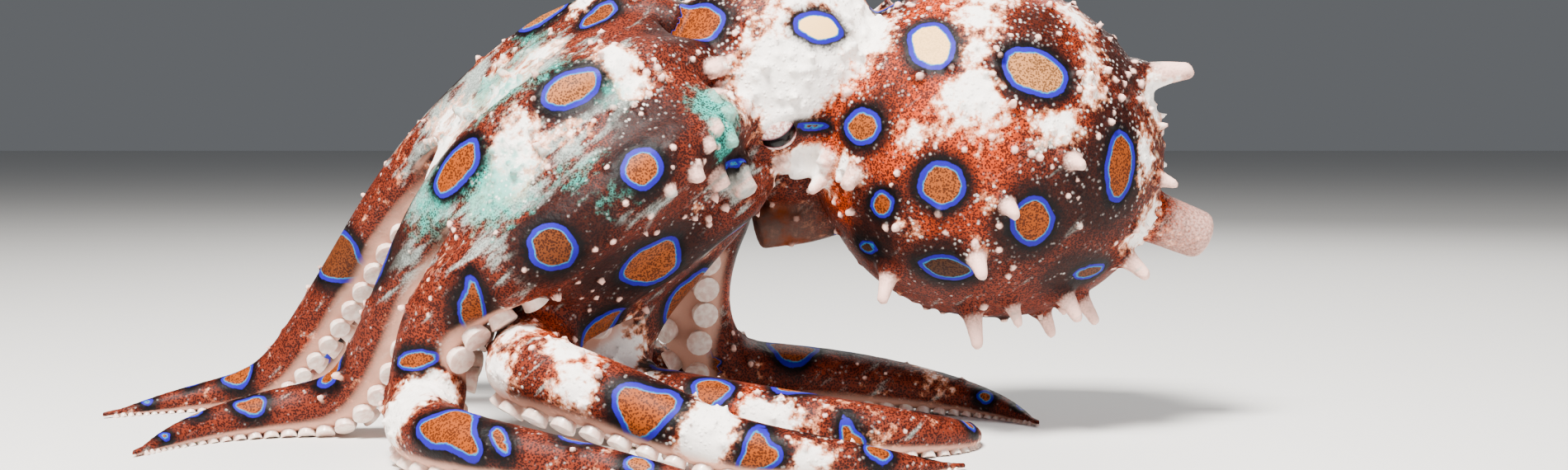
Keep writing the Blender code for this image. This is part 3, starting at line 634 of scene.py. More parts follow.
camera = {
    "distance": 250.0,
    "elevation": 3.0,
    "targetHeight": 24.5,
    "pixelsPerMm": 10.0,
    "width": 1900,
    "height": 570,
    "sensor": 36.0,
    "seenWithin": 1.0,  # mm between a place and what the camera sees of it
}
lift = math.radians(camera["elevation"])
lookFrom = Vector((0.0, -math.cos(lift), math.sin(lift))) * camera["distance"]
lookAlong = -lookFrom.normalized()
lookUp = across(Vector((0.0, 0.0, 1.0)), lookAlong)
lookRight = lookAlong.cross(lookUp)
lookFrom += Vector((0.0, 0.0, camera["targetHeight"]))
bpy.ops.object.camera_add(location=place(lookFrom), rotation=(math.radians(90) - lift, 0.0, 0.0))
photoCamera = named("photo_camera")
photoCamera.data.sensor_width = camera["sensor"]
frameWidth = camera["width"] / camera["pixelsPerMm"]
photoCamera.data.lens = camera["sensor"] * camera["distance"] / frameWidth
photoCamera.data.clip_start = 0.001
bpy.context.scene.camera = photoCamera


def rayThrough(x, y):
    right = (x - camera["width"] / 2) / camera["pixelsPerMm"]
    up = (camera["height"] / 2 - y) / camera["pixelsPerMm"]
    return (lookAlong * camera["distance"] + lookRight * right + lookUp * up).normalized()


def onSkin(x, y):
    # the point of the skin that shows at a pixel of the photograph, and its outward direction
    hit, spot, out, _ = skin.ray_cast(place(lookFrom), rayThrough(x, y))
    return (spot, out) if hit else (None, None)


# Where things are on the animal, so that each side gets the same markings.

armTree = KDTree(len(limbs) * Arm.samples)
for n, limb in enumerate(limbs):
    for k, point in enumerate(limb.points):
        armTree.insert(place(point), n * Arm.samples + k)
armTree.balance()


def eggDepth(body, spot):
    # how far outside an egg-shaped body a point is, in millimetres, and where round it
    centre, forward, half, taper = body
    reach = spot / mm - shift - centre
    near, up = bodySide(forward, 0.0), bodySide(forward, 90.0)
    along, wide, high = reach.dot(forward) / half[0], reach.dot(near) / half[2], reach.dot(up) / half[1]
    size = math.sqrt(along**2 + wide**2 + high**2)
    share = (1.0 - along / max(size, 1e-6)) / 2
    return (size - 1.0) * min(half), share, math.degrees(math.atan2(wide, high))


def gap(one, two):
    return (one - two).length / mm


def onArm(spot):
    # the nearest arm's number, the share along it, and how far its middle line is, in millimetres
    _, index, distance = armTree.find(spot)
    n, k = divmod(index, Arm.samples)
    return n, k / (Arm.samples - 1), distance / mm


def whereOn(spot):
    n, share, distance = onArm(spot)
    options = [(distance - limbs[n].radius(share), n, share, None)]
    for name, body in (("mantle", mantleBody), ("head", headBody)):
        depth, along, degrees = eggDepth(body, spot)
        options.append((depth, name, along, degrees))
    _, part, share, degrees = min(options, key=lambda option: option[0])
    if degrees is None:
        centre, _, under, side = limbs[n].at(share)
        reach = spot / mm - shift - centre
        degrees = math.degrees(math.atan2(reach.dot(side), reach.dot(under)))
    return part, share, degrees


def groundAt(part, share, degrees):
    # the point of the skin there, its outward direction and the direction along the part
    if part in ("mantle", "head"):
        body = mantleBody if part == "mantle" else headBody
        foot, out, along = eggPoint(body, share, degrees), eggNormal(body, share, degrees), -body[1]
    else:
        foot, out = limbs[part].surface(share, degrees)
        along = limbs[part].at(share)[1]
    hit, spot, normal, _ = skin.ray_cast(place(foot + out * 3.0), -out, distance=6.0 * mm)
    if not hit:
        return None
    return spot, normal, across(along, normal)


def mirrored(part, share, degrees):
    if part in ("mantle", "head"):
        return part, share, 2 * head["roll"] - degrees
    return len(limbs) - 1 - part, share, -degrees


# Rings: middle, width and height in the photograph's pixels, tilt, lobes, paleness of the middle. The dark
# middles of the belly, far-arm and under-web rings are painted shade.

rings = {
    "headFront": (833, 32, 85, 52, -30, 0.0, 0.0),
    "webUpper": (692, 106, 78, 45, -25, 0.0, 0.2),
    "webLower": (552, 203, 85, 38, -55, 0.0, 0.0),
    "cheek": (778, 204, 54, 50, 0, 0.0, 0.1),
    "webFold": (669, 301, 62, 58, 0, 0.0, -0.6),
    "crown": (993, 33, 60, 38, 10, 0.0, 1.0),
    "backNeck": (1128, 54, 60, 58, 20, 0.0, 0.8),
    "backMiddle": (1255, 87, 84, 56, 30, 0.0, 0.3),
    "behindEye": (1045, 154, 47, 44, 0, 0.0, 0.1),
    "flankMiddle": (1141, 224, 57, 60, 0, 0.0, 0.1),
    "flankNeck": (1069, 248, 28, 36, 0, 0.0, 0.0),
    "flankLow": (1251, 268, 52, 64, 20, 0.0, -0.1),
    "flankTail": (1358, 202, 34, 92, 4, 0.0, -0.2),
    "bellyMiddle": (1147, 325, 68, 30, 6, 0.0, -0.9),
    "bellyNeck": (1052, 300, 24, 16, 10, 0.0, -0.9),
    "bellyTail": (1320, 330, 40, 16, -20, 0.0, -0.7),
    "farArm": (405, 310, 45, 65, 10, 0.0, -0.6),
    "innerDrop": (575, 383, 34, 60, -8, 0.15, -0.3),
    "lowerWide": (545, 520, 80, 62, 20, 0.2, 0.0),
    "lowerSmall": (606, 533, 24, 40, -20, 0.0, 0.0),
    "loopBig": (780, 495, 80, 72, 0, 0.14, -0.1),
    "loopTop": (828, 449, 56, 30, 32, 0.0, 0.0),
    "loopEnd": (918, 550, 48, 64, 30, 0.2, 0.0),
    "loopTip": (1030, 535, 34, 40, 0, 0.25, 0.0),
    "bendSmall": (503, 437, 50, 26, -10, 0.0, 0.0),
    "backSlit": (725, 20, 56, 16, -30, 0.0, -0.4),
    "barBehindEye": (984, 153, 38, 11, 0, 0.0, -0.5),
    "barUnderEye": (887, 198, 24, 10, -25, 0.0, -0.5),
}
ringForm = {
    "corners": 48,
    "lobes": 3,
    "wobble": ((2, 0.035), (4, 0.02), (5, 0.018), (7, 0.01)),  # waves round the outline and their size
    "reach": 3.0,  # mm beyond a ring's edge where it is still felt
    "widest": 1.9,  # how much a ring may be drawn out on skin that turns away
    "room": 1.15,
    "papillaRoom": 0.8,
    "proud": 0.9,  # mm above a ring's middle where a papilla stays clear of it
    "facing": 0.1,  # how much the skin has to face a ring's way
    "wrap": 0.75,  # how far down a ring may wrap round its part, of its radius
    "wrapMore": 0.3,  # and in mm
    "lineShare": 0.25,  # width of the blue line, of a ring's least radius
    "lineLeast": 0.3,  # mm
    "lineMost": 0.56,
}


class Ring:
    def __init__(self, spot, out, along, outline, pale):
        self.spot, self.out, self.along = spot, out, along
        self.round = out.cross(along)
        self.outline, self.pale = outline, pale
        self.size = max(math.hypot(x, y) for x, y in outline)
        thinnest = min(math.hypot(x, y) for x, y in outline)
        self.line = min(ringForm["lineMost"], max(ringForm["lineLeast"], thinnest * ringForm["lineShare"]))

    def flatPlaces(self, points):
        reach = points - np.array(self.spot)
        return np.stack([reach @ np.array(self.along), reach @ np.array(self.round)], axis=1) / mm


def ovalOutline(width, height, lobe, tilt=0.0, turn=0.0):
    count, flat = ringForm["corners"], []
    tilt = math.radians(tilt)
    for k in range(count):
        angle = 2 * math.pi * k / count
        swell = 1 + lobe * math.cos(ringForm["lobes"] * angle + turn)
        for waves, size in ringForm["wobble"]:
            swell += size * math.sin(waves * angle + waves * turn)
        x, y = math.cos(angle) * width / 2 * swell, math.sin(angle) * height / 2 * swell
        flat.append((x * math.cos(tilt) - y * math.sin(tilt), x * math.sin(tilt) + y * math.cos(tilt)))
    return flat


def ringFromPhoto(x, y, width, height, tilt, lobe, pale):
    spot, out = onSkin(x, y)
    if spot is None:
        return None
    part, share, degrees = whereOn(spot)
    ground = groundAt(part, share, degrees)
    along = across(ground[2] if ground else lookRight, out)
    roundWay = out.cross(along)
    outline = []
    for offX, offY in ovalOutline(width, height, lobe, tilt, turn=x):
        ray = rayThrough(x + offX, y + offY)
        facing = ray.dot(out)
        reach = (spot - place(lookFrom)).dot(out) / min(facing, -0.12)
        flat = place(lookFrom) + ray * reach - spot
        a, b = flat.dot(along) / mm, flat.dot(roundWay) / mm
        size, most = math.hypot(a, b), ringForm["widest"] * math.hypot(offX, offY) / camera["pixelsPerMm"]
        outline.append((a * min(1.0, most / max(size, 1e-6)), b * min(1.0, most / max(size, 1e-6))))
    return Ring(spot, out, along, outline, pale)


def underPapilla(ring):
    for share, degrees, length, radius in mantlePapillae:
        foot = place(eggPoint(mantleBody, share, degrees))
        if gap(ring.spot, foot) < ring.size * ringForm["papillaRoom"] + radius:
            return True
    return False


def crowded(ring, others):
    for other in others:
        if gap(ring.spot, other.spot) < (ring.size + other.size) * ringForm["room"]:
            return True
    return False


drawn = []
for name, values in rings.items():
    ring = ringFromPhoto(*values)
    if ring is None:
        print("no skin at", name)
        continue
    drawn.append(ring)
for ring in list(drawn):
    part, share, degrees = mirrored(*whereOn(ring.spot))
    ground = groundAt(part, share, degrees)
    if ground is None:
        continue
    twin = Ring(*ground, [(a, -b) for a, b in ring.outline], ring.pale)
    if not crowded(twin, drawn) and not underPapilla(twin):
        drawn.append(twin)

# Two rows of rings along the back of each arm, spread from low to high values.
armRings = {
    "stations": (0.10, 0.19, 0.29, 0.38, 0.47, 0.56, 0.65, 0.73, 0.81, 0.88, 0.94),
    "width": 0.62,  # of the arm's
    "widthSpread": (0.85, 1.15),
    "turn": 38,  # degrees either way from the middle of the back
    "turnSpread": (0.6, 1.3),
    "lengthened": (1.1, 1.5),
    "lobe": (0.0, 0.12),
    "wobbleTurn": 9,
    "pale": (-0.3, 0.2),
}
pick = np.random.default_rng(7)
for n, limb in enumerate(limbs):
    for k, share in enumerate(armRings["stations"]):
        width = 2 * armRings["width"] * limb.radius(share) * pick.uniform(*armRings["widthSpread"])
        turn = armRings["turn"] if k % 2 else -armRings["turn"]
        ground = groundAt(n, share, 180 + turn * pick.uniform(*armRings["turnSpread"]))
        if ground is None:
            continue
        length, lobe = width * pick.uniform(*armRings["lengthened"]), pick.uniform(*armRings["lobe"])
        outline = ovalOutline(length, width, lobe, turn=share * armRings["wobbleTurn"])
        own = Ring(*ground, outline, pick.uniform(*armRings["pale"]))
        if not crowded(own, drawn):
            drawn.append(own)


def seenInPhoto(spot):
    way = spot - place(lookFrom)
    hit, first, _, _ = skin.ray_cast(place(lookFrom), way.normalized())
    return hit and gap(first, spot) < camera["seenWithin"]


# The sides that the photograph doesn't show have rings of the same kind on mantle and head.
hiddenRings = {
    "rows": (("mantle", (0.30, 0.46, 0.62, 0.78, 0.92)), ("head", (0.3, 0.5, 0.66))),
    "step": 34,  # degrees round the body
    "stray": (-5, 5),
    "width": (5.0, 7.0),
    "height": (3.8, 5.2),
    "tilt": (-30, 30),
    "pale": (-0.3, 0.3),
    "foldGap": 5.0,  # mm clear of the fold by the funnel
}
for part, shares in hiddenRings["rows"]:
    for row, share in enumerate(shares):
        first = -180 + hiddenRings["step"] // 2 * (row % 2)
        for degrees in range(first, 180, hiddenRings["step"]):
            ground = groundAt(part, share, degrees + pick.uniform(*hiddenRings["stray"]))
            if ground is None or seenInPhoto(ground[0]):
                continue
            width, height = pick.uniform(*hiddenRings["width"]), pick.uniform(*hiddenRings["height"])
            outline = ovalOutline(width, height, 0.0, pick.uniform(*hiddenRings["tilt"]), degrees)
            own = Ring(*ground, outline, pick.uniform(*hiddenRings["pale"]))
            fold = gap(ground[0], place(funnel["foldCentre"]))
            if fold < funnel["foldRadius"] + hiddenRings["foldGap"] or underPapilla(own):
                continue
            if not crowded(own, drawn) and whereOn(ground[0])[0] == part:
                drawn.append(own)
print(len(drawn), "rings drawn")

# Broad tones of the skin, with painted shade and a painted tint of light among them: middle and reach in the
# photograph's pixels, and strength.
tones = {
    "pale": (
        (985, 45, 75, 1.0), (1040, 20, 60, 0.9), (930, 80, 60, 0.9), (1190, 110, 45, 0.8),
        (1210, 30, 50, 0.5), (1180, 60, 40, 0.6), (960, 130, 40, 0.9), (905, 40, 40, 0.6),
        (975, 195, 38, 1.0), (1030, 205, 25, 0.7), (1110, 170, 30, 0.5), (1280, 160, 45, 0.7),
        (1330, 70, 40, 0.6), (1390, 110, 40, 1.0), (1385, 280, 40, 0.8), (1200, 245, 24, 0.6),
        (1180, 300, 24, 0.6), (1100, 275, 26, 0.5), (650, 70, 30, 0.7), (610, 110, 40, 0.7),
        (745, 75, 30, 0.8), (620, 200, 40, 0.8), (560, 140, 35, 0.7), (640, 160, 35, 0.6),
        (690, 150, 25, 0.7), (540, 70, 40, 0.5), (735, 430, 45, 0.9), (700, 470, 30, 0.6),
        (690, 420, 30, 0.7), (850, 520, 45, 0.9), (760, 440, 30, 0.7), (930, 500, 40, 0.7),
        (480, 500, 45, 0.8), (600, 470, 40, 0.8),
        (860, 500, 40, 0.8), (520, 470, 35, 0.9), (650, 510, 40, 0.9), (570, 455, 30, 0.7),
        (620, 400, 28, 0.9), (980, 560, 30, 0.7), (1060, 545, 25, 0.6), (850, 250, 20, 0.5)),
    # the dark tone: partly the skin's own, partly painted shade on the belly, the lower flank, below the web
    # and on the far arms
    "dusk": (
        (886, 187, 24, 1.4), (906, 193, 12, 1.2), (835, 45, 65, 1.0), (790, 150, 55, 0.9),
        (850, 130, 35, 0.6), (700, 260, 60, 1.0),
        (660, 300, 55, 1.0), (765, 200, 45, 0.9), (860, 190, 35, 0.8), (1080, 110, 35, 0.6),
        (1050, 160, 30, 0.6), (1250, 90, 50, 0.8), (1330, 230, 75, 1.0), (1250, 270, 60, 0.9),
        (1350, 150, 50, 0.8), (1150, 320, 50, 0.8), (1060, 290, 40, 0.8), (1130, 225, 40, 0.5),
        (1290, 330, 45, 0.9), (690, 110, 45, 0.5), (552, 203, 42, 0.4), (575, 385, 35, 0.7),
        (400, 310, 60, 0.6), (560, 520, 40, 0.5), (780, 500, 45, 0.6), (840, 480, 30, 0.4),
        (480, 290, 40, 0.7), (740, 330, 60, 0.9), (820, 300, 60, 0.8)),
    "mist": (
        (560, 140, 80, 1.0), (620, 215, 60, 0.9), (520, 230, 60, 0.9), (650, 80, 60, 0.9),
        (735, 110, 45, 0.9), (690, 165, 45, 0.8), (890, 218, 34, 1.0), (500, 320, 50, 0.7),
        (760, 262, 26, 0.5), (590, 300, 45, 0.6), (470, 150, 60, 0.7), (420, 230, 60, 0.6),
        (800, 250, 30, 0.4), (1270, 175, 26, 0.4), (560, 420, 40, 0.4)),
    # teal: partly the skin's own tint, partly a painted tint of light, strongest on the papilla above the
    # eye
    "teal": (
        (870, 130, 34, 1.0), (880, 170, 24, 1.0), (590, 110, 60, 0.6), (640, 60, 50, 0.5),
        (600, 230, 60, 0.7), (520, 250, 50, 0.6), (740, 110, 30, 0.5), (700, 210, 40, 0.4),
        (1400, 180, 30, 0.3), (740, 240, 40, 0.3)),
    "rust": (
        (1020, 110, 50, 1.0), (1110, 100, 50, 0.9), (1080, 170, 45, 0.8), (1000, 155, 30, 1.0),
        (1200, 180, 60, 0.6), (1250, 120, 60, 0.6), (1150, 240, 60, 0.6), (870, 50, 40, 0.6),
        (900, 480, 60, 0.5), (700, 430, 40, 0.4), (520, 440, 40, 0.5), (1010, 240, 40, 0.6),
        (660, 400, 30, 0.9)),
}
toneMiddles = {}
for name, spots in tones.items():
    toneMiddles[name] = []
    for x, y, reach, strength in spots:
        spot, out = onSkin(x, y)
        if spot is None:
            continue
        toneMiddles[name].append((spot, reach, strength))
        ground = groundAt(*mirrored(*whereOn(spot)))
        if ground is not None:
            toneMiddles[name].append((ground[0], reach, strength))


def toneField(name, points):
    field = np.zeros(len(points))
    for middle, reach, strength in toneMiddles[name]:
        distance = np.linalg.norm(points - np.array(middle), axis=1) / mm * camera["pixelsPerMm"]
        field = np.maximum(field, strength * np.exp(-((distance / reach) ** 2)))
    return field


# Blunt lobes that hang below the eye: foot in the photograph's pixels, length and radius
lobes = (
    (948, 190, 1.8, 1.1), (966, 193, 2.4, 1.4), (988, 194, 2.2, 1.3), (1004, 188, 1.8, 1.0),
    (1036, 206, 2.8, 1.0), (868, 210, 2.0, 1.1), (894, 214, 2.6, 1.5), (842, 206, 1.6, 0.9),
    (862, 116, 1.2, 0.7), (880, 134, 1.4, 0.8), (866, 150, 1.5, 0.8), (884, 166, 1.4, 0.8),
    (900, 126, 1.2, 0.7), (858, 172, 1.2, 0.7), (874, 104, 1.2, 0.7), (812, 228, 1.2, 0.7),
)
soft = []
tips = []


def addPapilla(kind, foot, way, length, radius):
    # a papilla, and the places along its middle line round which it is pale
    droop, blunt, sides, pale, spots = papillaForm[kind]
    soft.append(papilla(foot, way, length, radius, droop, blunt, sides))
    for part in spots:
        tips.append((place(foot + way * length * part), radius * pale * papillaForm["paleReach"]))


for share, degrees, length, radius in mantlePapillae:
    lean = eggNormal(mantleBody, share, degrees) + mantleTailward * mantle["papillaLean"]
    addPapilla("mantle", eggPoint(mantleBody, share, degrees), lean.normalized(), length, radius)
tailFoot = mantleBody[0] + mantleTailward * (mantle["halfSizes"][0] - mantle["tailSunk"])
addPapilla("tail", tailFoot, mantleTailward, mantle["tailLength"], mantle["tailRadius"])
for share, degrees, length, radius in headPapillae:
    spot = headBody, 1.0 - share, degrees
    addPapilla("head", eggPoint(*spot), eggNormal(*spot), length, radius)
for x, y, length, radius in lobes:
    spot, out = onSkin(x, y)
    if spot is None:
        continue
    feet = [(spot, out)]
    twin = groundAt(*mirrored(*whereOn(spot)))
    if twin is not None:
        feet.append(twin[:2])
    for spot, out in feet:
        way = (out + Vector((0.0, 0.0, -papillaForm["lobeSag"]))).normalized()
        addPapilla("lobe", spot / mm - shift, way, length, radius)
for side in (1, -1):
    out = eyeDirection(side)
    centre = headCentre + headForward * eye["along"] + out * (eye["out"] + eye["lidOut"])
    longWay = across(headForward, out)
    soft.append(torus("lid", centre, out, longWay, eye["lidRadius"], eye["lidThickness"],
                      eye["lidLengthened"], eye["lidNarrowed"]))
lipCentre = headCentre + headForward * (head["halfSizes"][0] - head["lipSunk"])
soft.append(torus("lips", lipCentre, headForward, across(Vector((0, 0, 1)), headForward),
                  head["lipRadius"], head["lipThickness"]))

# Small papillae and warts: four are modelled, then copied over the skin, thicker where it is pale.
wartForm = {
    # length, radius, how blunt
    "kinds": ((1.3, 0.62, 0.62), (0.85, 0.5, 0.7), (0.6, 0.44, 0.8), (0.45, 0.4, 0.85)),
    "shares": (0.08, 0.22, 0.36, 0.34),
    "tries": 14000,
    "apart": 1.0,  # mm
    "least": 0.75,  # smallest and largest scale
    "most": 1.3,
    "lean": 0.15,
    "plain": 0.13,  # share of the places that are used where the skin isn't pale
    "sides": 9,
    "ringGap": 0.4,  # mm
    "eyeRoom": 1.45,  # of the eye's radius
    "armWithin": 1.0,  # mm from an arm's surface, where these three hold
    "armUnder": 0.1,  # most that a wart may look towards the underside
    "armShare": 0.9,  # where the tip begins, which has none
    "armScale": (0.55, 0.45),  # fixed, and growing with the arm's radius
    "paleAt": 0.7,  # share of the length
    "paleReach": 0.45,
}


def scattered(item, tries, apart, pick):
    # places spread over a skin, none nearer to another than a distance
    mesh = item.data
    areas = np.empty(len(mesh.polygons), np.float32)
    mesh.polygons.foreach_get("area", areas)
    kept, taken = [], {}
    for index in pick.choice(len(areas), tries, p=areas / areas.sum()):
        face = mesh.polygons[int(index)]
        centre = Vector(face.center)
        a, b, c = (int(math.floor(value / (apart * mm))) for value in centre)
        steps = (-1, 0, 1)
        near = [taken.get((a + i, b + j, c + k), ()) for i in steps for j in steps for k in steps]
        if any((centre - other).length < apart * mm for others in near for other in others):
            continue
        taken.setdefault((a, b, c), []).append(centre)
        kept.append((centre, Vector(face.normal)))
    return kept


# Broad tones go on in the same way where the photograph doesn't reach.
hiddenTones = {
    "names": ("pale", "dusk", "rust", "pale", "mist", "dusk"),
    "tries": 900,
    "apart": 7.0,  # mm
    "fromPale": 4.0,
    "reach": (26, 48),  # in the photograph's pixels
    "strength": (0.6, 1.0),
}
pick = np.random.default_rng(5)
for k, (spot, _) in enumerate(scattered(skin, hiddenTones["tries"], hiddenTones["apart"], pick)):
    nearest = min(gap(spot, middle) for middle, _, _ in toneMiddles["pale"])
    if nearest > hiddenTones["fromPale"] and not seenInPhoto(spot):
        name = hiddenTones["names"][k % len(hiddenTones["names"])]
        reach, strength = pick.uniform(*hiddenTones["reach"]), pick.uniform(*hiddenTones["strength"])
        toneMiddles[name].append((spot, reach, strength))

pick = np.random.default_rng(11)
models = [papilla((0, 0, 0), Vector((0, 0, 1)), length, radius, 0.0, blunt, wartForm["sides"])
          for length, radius, blunt in wartForm["kinds"]]
middle = place((0, 0, 0))
places = scattered(skin, wartForm["tries"], wartForm["apart"], pick)
paleness = toneField("pale", np.array([tuple(spot) for spot, _ in places]))
wartSpots = []
for (spot, out), pale in zip(places, paleness):
    chance, kind = pick.random(), int(pick.choice(len(models), p=wartForm["shares"]))
    scale, lean = pick.uniform(wartForm["least"], wartForm["most"]), pick.normal(0.0, wartForm["lean"], 3)
    if chance > wartForm["plain"] + pale:
        continue
    if any(gap(spot, ring.spot) < ring.size + wartForm["ringGap"] for ring in drawn):
        continue
    if any(gap(spot, place(eyeCentre(side))) < wartForm["eyeRoom"] * eye["radius"] for side in (1, -1)):
        continue
    n, share, distance = onArm(spot)
    armRadius = limbs[n].radius(share)
    if distance < armRadius + wartForm["armWithin"]:
        if out.dot(limbs[n].at(share)[2]) > wartForm["armUnder"] or share > wartForm["armShare"]:
            continue
        scale *= wartForm["armScale"][0] + wartForm["armScale"][1] * armRadius / armForm["radius"]
    way = (out + Vector(lean)).normalized()
    size = Matrix.Diagonal((scale, scale, scale)).to_4x4()
    wart = linked("wart", models[kind].data.copy())
    wart.data.transform(Matrix.Translation(spot) @ upTo(way) @ size @ Matrix.Translation(-middle))
    soft.append(wart)
    length, radius, _ = wartForm["kinds"][kind]
    reach = max(length * wartForm["paleReach"], radius) * scale
    wartSpots.append((spot + way * length * scale * wartForm["paleAt"] * mm, reach))
for model in models:
    bpy.data.objects.remove(model)
print(len(wartSpots), "warts")

soft.append(skin)
skin = remeshed(joined(soft[::-1], "octopus_skin"), skinForm["voxel"], skinForm["lastSmoothing"])
points = corners(skin)
points[:, 2] = np.maximum(points[:, 2], 0.0)
setCorners(skin, points)
print("papillae joined", len(skin.data.polygons), "faces")

# The mesh is thinned away from the rings, so that their lines stay fine.
plain = np.ones(len(points), bool)
for ring in drawn:
    distance = np.linalg.norm(points - np.array(ring.spot), axis=1) / mm
    plain[distance < ring.size + skinForm["fineAround"]] = False
group = skin.vertex_groups.new(name="plain")
group.add([int(k) for k in np.nonzero(plain)[0]], 1.0, "REPLACE")
thin = skin.modifiers.new("Decimate", "DECIMATE")
thin.ratio = min(1.0, skinForm["trianglesAtMost"] / (2 * len(skin.data.polygons)))
thin.vertex_group = "plain"
thin.vertex_group_factor = skinForm["ringWeight"]
applyAll(skin)
skin.data.calc_loop_triangles()
if len(skin.data.loop_triangles) > skinForm["mostKept"]:
    even = skin.modifiers.new("Decimate", "DECIMATE")
    even.ratio = skinForm["mostKept"] / len(skin.data.loop_triangles)
    applyAll(skin)
choose(skin)
bpy.ops.object.shade_smooth()
print("skin thinned", len(skin.data.polygons), "faces")

points = corners(skin)
normals = np.empty(len(skin.data.vertices) * 3, np.float32)
skin.data.vertex_normals.foreach_get("vector", normals)
normals = normals.reshape(-1, 3)
ringEdge = np.full(len(points), ringForm["reach"])
ringPale = np.zeros(len(points))
ringLine = np.full(len(points), ringForm["lineMost"])
for ring in drawn:
    reach = (ring.size + ringForm["reach"]) * mm
    near = np.nonzero(np.linalg.norm(points - np.array(ring.spot), axis=1) < reach)[0]
    near = near[normals[near] @ np.array(ring.out) > ringForm["facing"]]
    above = (points[near] - np.array(ring.spot)) @ np.array(ring.out) / mm
    lowest = -ringForm["wrap"] * ring.size - ringForm["wrapMore"]
    near = near[(above < ringForm["proud"]) & (above > lowest)]
    flat = ring.flatPlaces(points[near])
    start = np.array(ring.outline)
    run = np.roll(start, -1, axis=0) - start
    fromStart = flat[:, None] - start[None]
    share = np.clip((fromStart * run).sum(2) / np.maximum((run * run).sum(1), 1e-9), 0.0, 1.0)
    distance = np.linalg.norm(fromStart - run * share[..., None], axis=2).min(axis=1)
    angles = np.arctan2(flat[:, 1], flat[:, 0])
    edgeAngles = np.arctan2(start[:, 1], start[:, 0])
    order = np.argsort(edgeAngles)
    edgeSizes = np.linalg.norm(start, axis=1)[order]
    inside = np.linalg.norm(flat, axis=1) < np.interp(angles, edgeAngles[order], edgeSizes, period=2 * np.pi)
    distance[inside] *= -1
    better = distance < ringEdge[near]
    ringEdge[near[better]] = distance[better]
    ringPale[near[better]] = ring.pale
    ringLine[near[better]] = ring.line

# How far each point of an arm looks towards the arm's underside.
underside = np.zeros(len(points))
for k, (point, out) in enumerate(zip(points, normals)):
    n, share, distance = onArm(point)
    armness = 1.0 - smoothStep(*skinForm["armFade"], distance - limbs[n].radius(share))
    if armness > 0:
        underside[k] = max(Vector(out).dot(limbs[n].at(share)[2]), 0.0) * armness


def keep(name, values):
    layer = skin.data.attributes.new(name, "FLOAT", "POINT")
    layer.data.foreach_set("value", np.asarray(values, np.float32))


keep("ringEdge", ringEdge)
keep("ringPale", ringPale)
keep("ringLine", ringLine)
keep("underside", underside)
for name in tones:
    keep(name, toneField(name, points))
paleSpots = wartSpots + tips
wartTree = KDTree(len(paleSpots))
for k, (spot, radius) in enumerate(paleSpots):
    wartTree.insert(spot, k)
wartTree.balance()
wartNear = []
for point in points:
    wartNear.append(min(away / mm / paleSpots[k][1] for _, k, away in wartTree.find_n(point, 4)))
keep("wartNear", wartNear)
pipe = KDTree(48)
for k, point in enumerate(smoothPath([Vector(point) for point in funnel["path"]], 48)):
    pipe.insert(place(point), k)
pipe.balance()
keep("pipe", [1.0 - smoothStep(*funnel["toneReach"], pipe.find(point)[2] / mm) for point in points])
print("markings painted")


# Shader maths as plain expressions: each wraps one socket of a material's nodes.
class Shade:
    def __init__(self, nodes, socket=None):
        self.nodes, self.socket = nodes, socket

    def node(self, kind, settings, sockets, output=0):
        made = self.nodes.nodes.new(kind)
        for name, value in settings.items():
            if name == "stops":
                for n, (position, colour) in enumerate(value):
                    stops = made.color_ramp.elements
                    stop = stops[n] if n < 2 else stops.new(position)
                    stop.position, stop.color = position, (*colour, 1.0)
            else:
                setattr(made, name, value)
        for name, value in sockets.items():
            if isinstance(value, Shade):
                self.nodes.links.new(value.socket, made.inputs[name])
            else:
                made.inputs[name].default_value = value
        return Shade(self.nodes, made.outputs[output])

    def sum(self, operation, first, second=0.0):
        return self.node("ShaderNodeMath", {"operation": operation}, {0: first, 1: second})

    def __add__(self, other):
        return self.sum("ADD", self, other)

    def __radd__(self, other):
        return self.sum("ADD", other, self)

    def __sub__(self, other):
        return self.sum("SUBTRACT", self, other)

    def __rsub__(self, other):
        return self.sum("SUBTRACT", other, self)

    def __mul__(self, other):
        return self.sum("MULTIPLY", self, other)

    def __rmul__(self, other):
        return self.sum("MULTIPLY", other, self)

    def ramp(self, low, high):
        # 0 below low and 1 above high, with a soft change between
        return self.node("ShaderNodeMapRange", {"interpolation_type": "SMOOTHSTEP"},
                         {"Value": self, "From Min": low, "From Max": high})

    def mix(self, mask, under, over):
        return self.node("ShaderNodeMix", {"data_type": "RGBA"}, {0: mask, 6: under, 7: over}, 2)


def newMaterial(name):
    made = bpy.data.materials.new(name)
    made.use_nodes = True
    return made, made.node_tree.nodes["Principled BSDF"], Shade(made.node_tree)


colours = {
    "cream": (0.85, 0.33, 0.17, 1.0),
    "white": (1.0, 0.93, 0.87, 1.0),
    "brown": (0.13, 0.017, 0.006, 1.0),
    "rust": (0.38, 0.034, 0.001, 1.0),
    # the dark tone, partly the skin's own and partly painted shade
    "dusk": (0.012, 0.002, 0.001, 1.0),
    "dot": (0.006, 0.0006, 0.0006, 1.0),
    # teal, partly the skin's own and partly a painted tint of light
    "teal": (0.02, 0.36, 0.29, 1.0),
    "mist": (0.30, 0.36, 0.33, 1.0),
    "tip": (0.95, 0.58, 0.48, 1.0),
    "line": (0.011, 0.0004, 0.25, 1.0),
    "lineInner": (0.006, 0.17, 0.32, 1.0),
    "halo": (0.0006, 0.0003, 0.0008, 1.0),
    "fill": (0.24, 0.044, 0.002, 1.0),
    "fillPale": (0.90, 0.55, 0.22, 1.0),
    # dark ring middles, partly the skin's own and partly painted shade
    "fillDarkAndShade": (0.045, 0.016, 0.006, 1.0),
    "underside": (0.70, 0.38, 0.28, 1.0),
    "pipe": (0.15, 0.032, 0.008, 1.0),
    "pipeGrey": (0.09, 0.055, 0.045, 1.0),
}
skinLook = {
    "innerLineWidth": 0.1,  # mm
    "haloWidth": 1.6,
    "shadeWidth": 3.0,
    "dotsPerMm": 4.0,
    "granulesPerMm": 1.5,
    "streaksPerMm": 0.9,
    "streakLength": 4.0,  # times its width
    "streakSlope": 41.0,  # degrees below level, down the arms
}


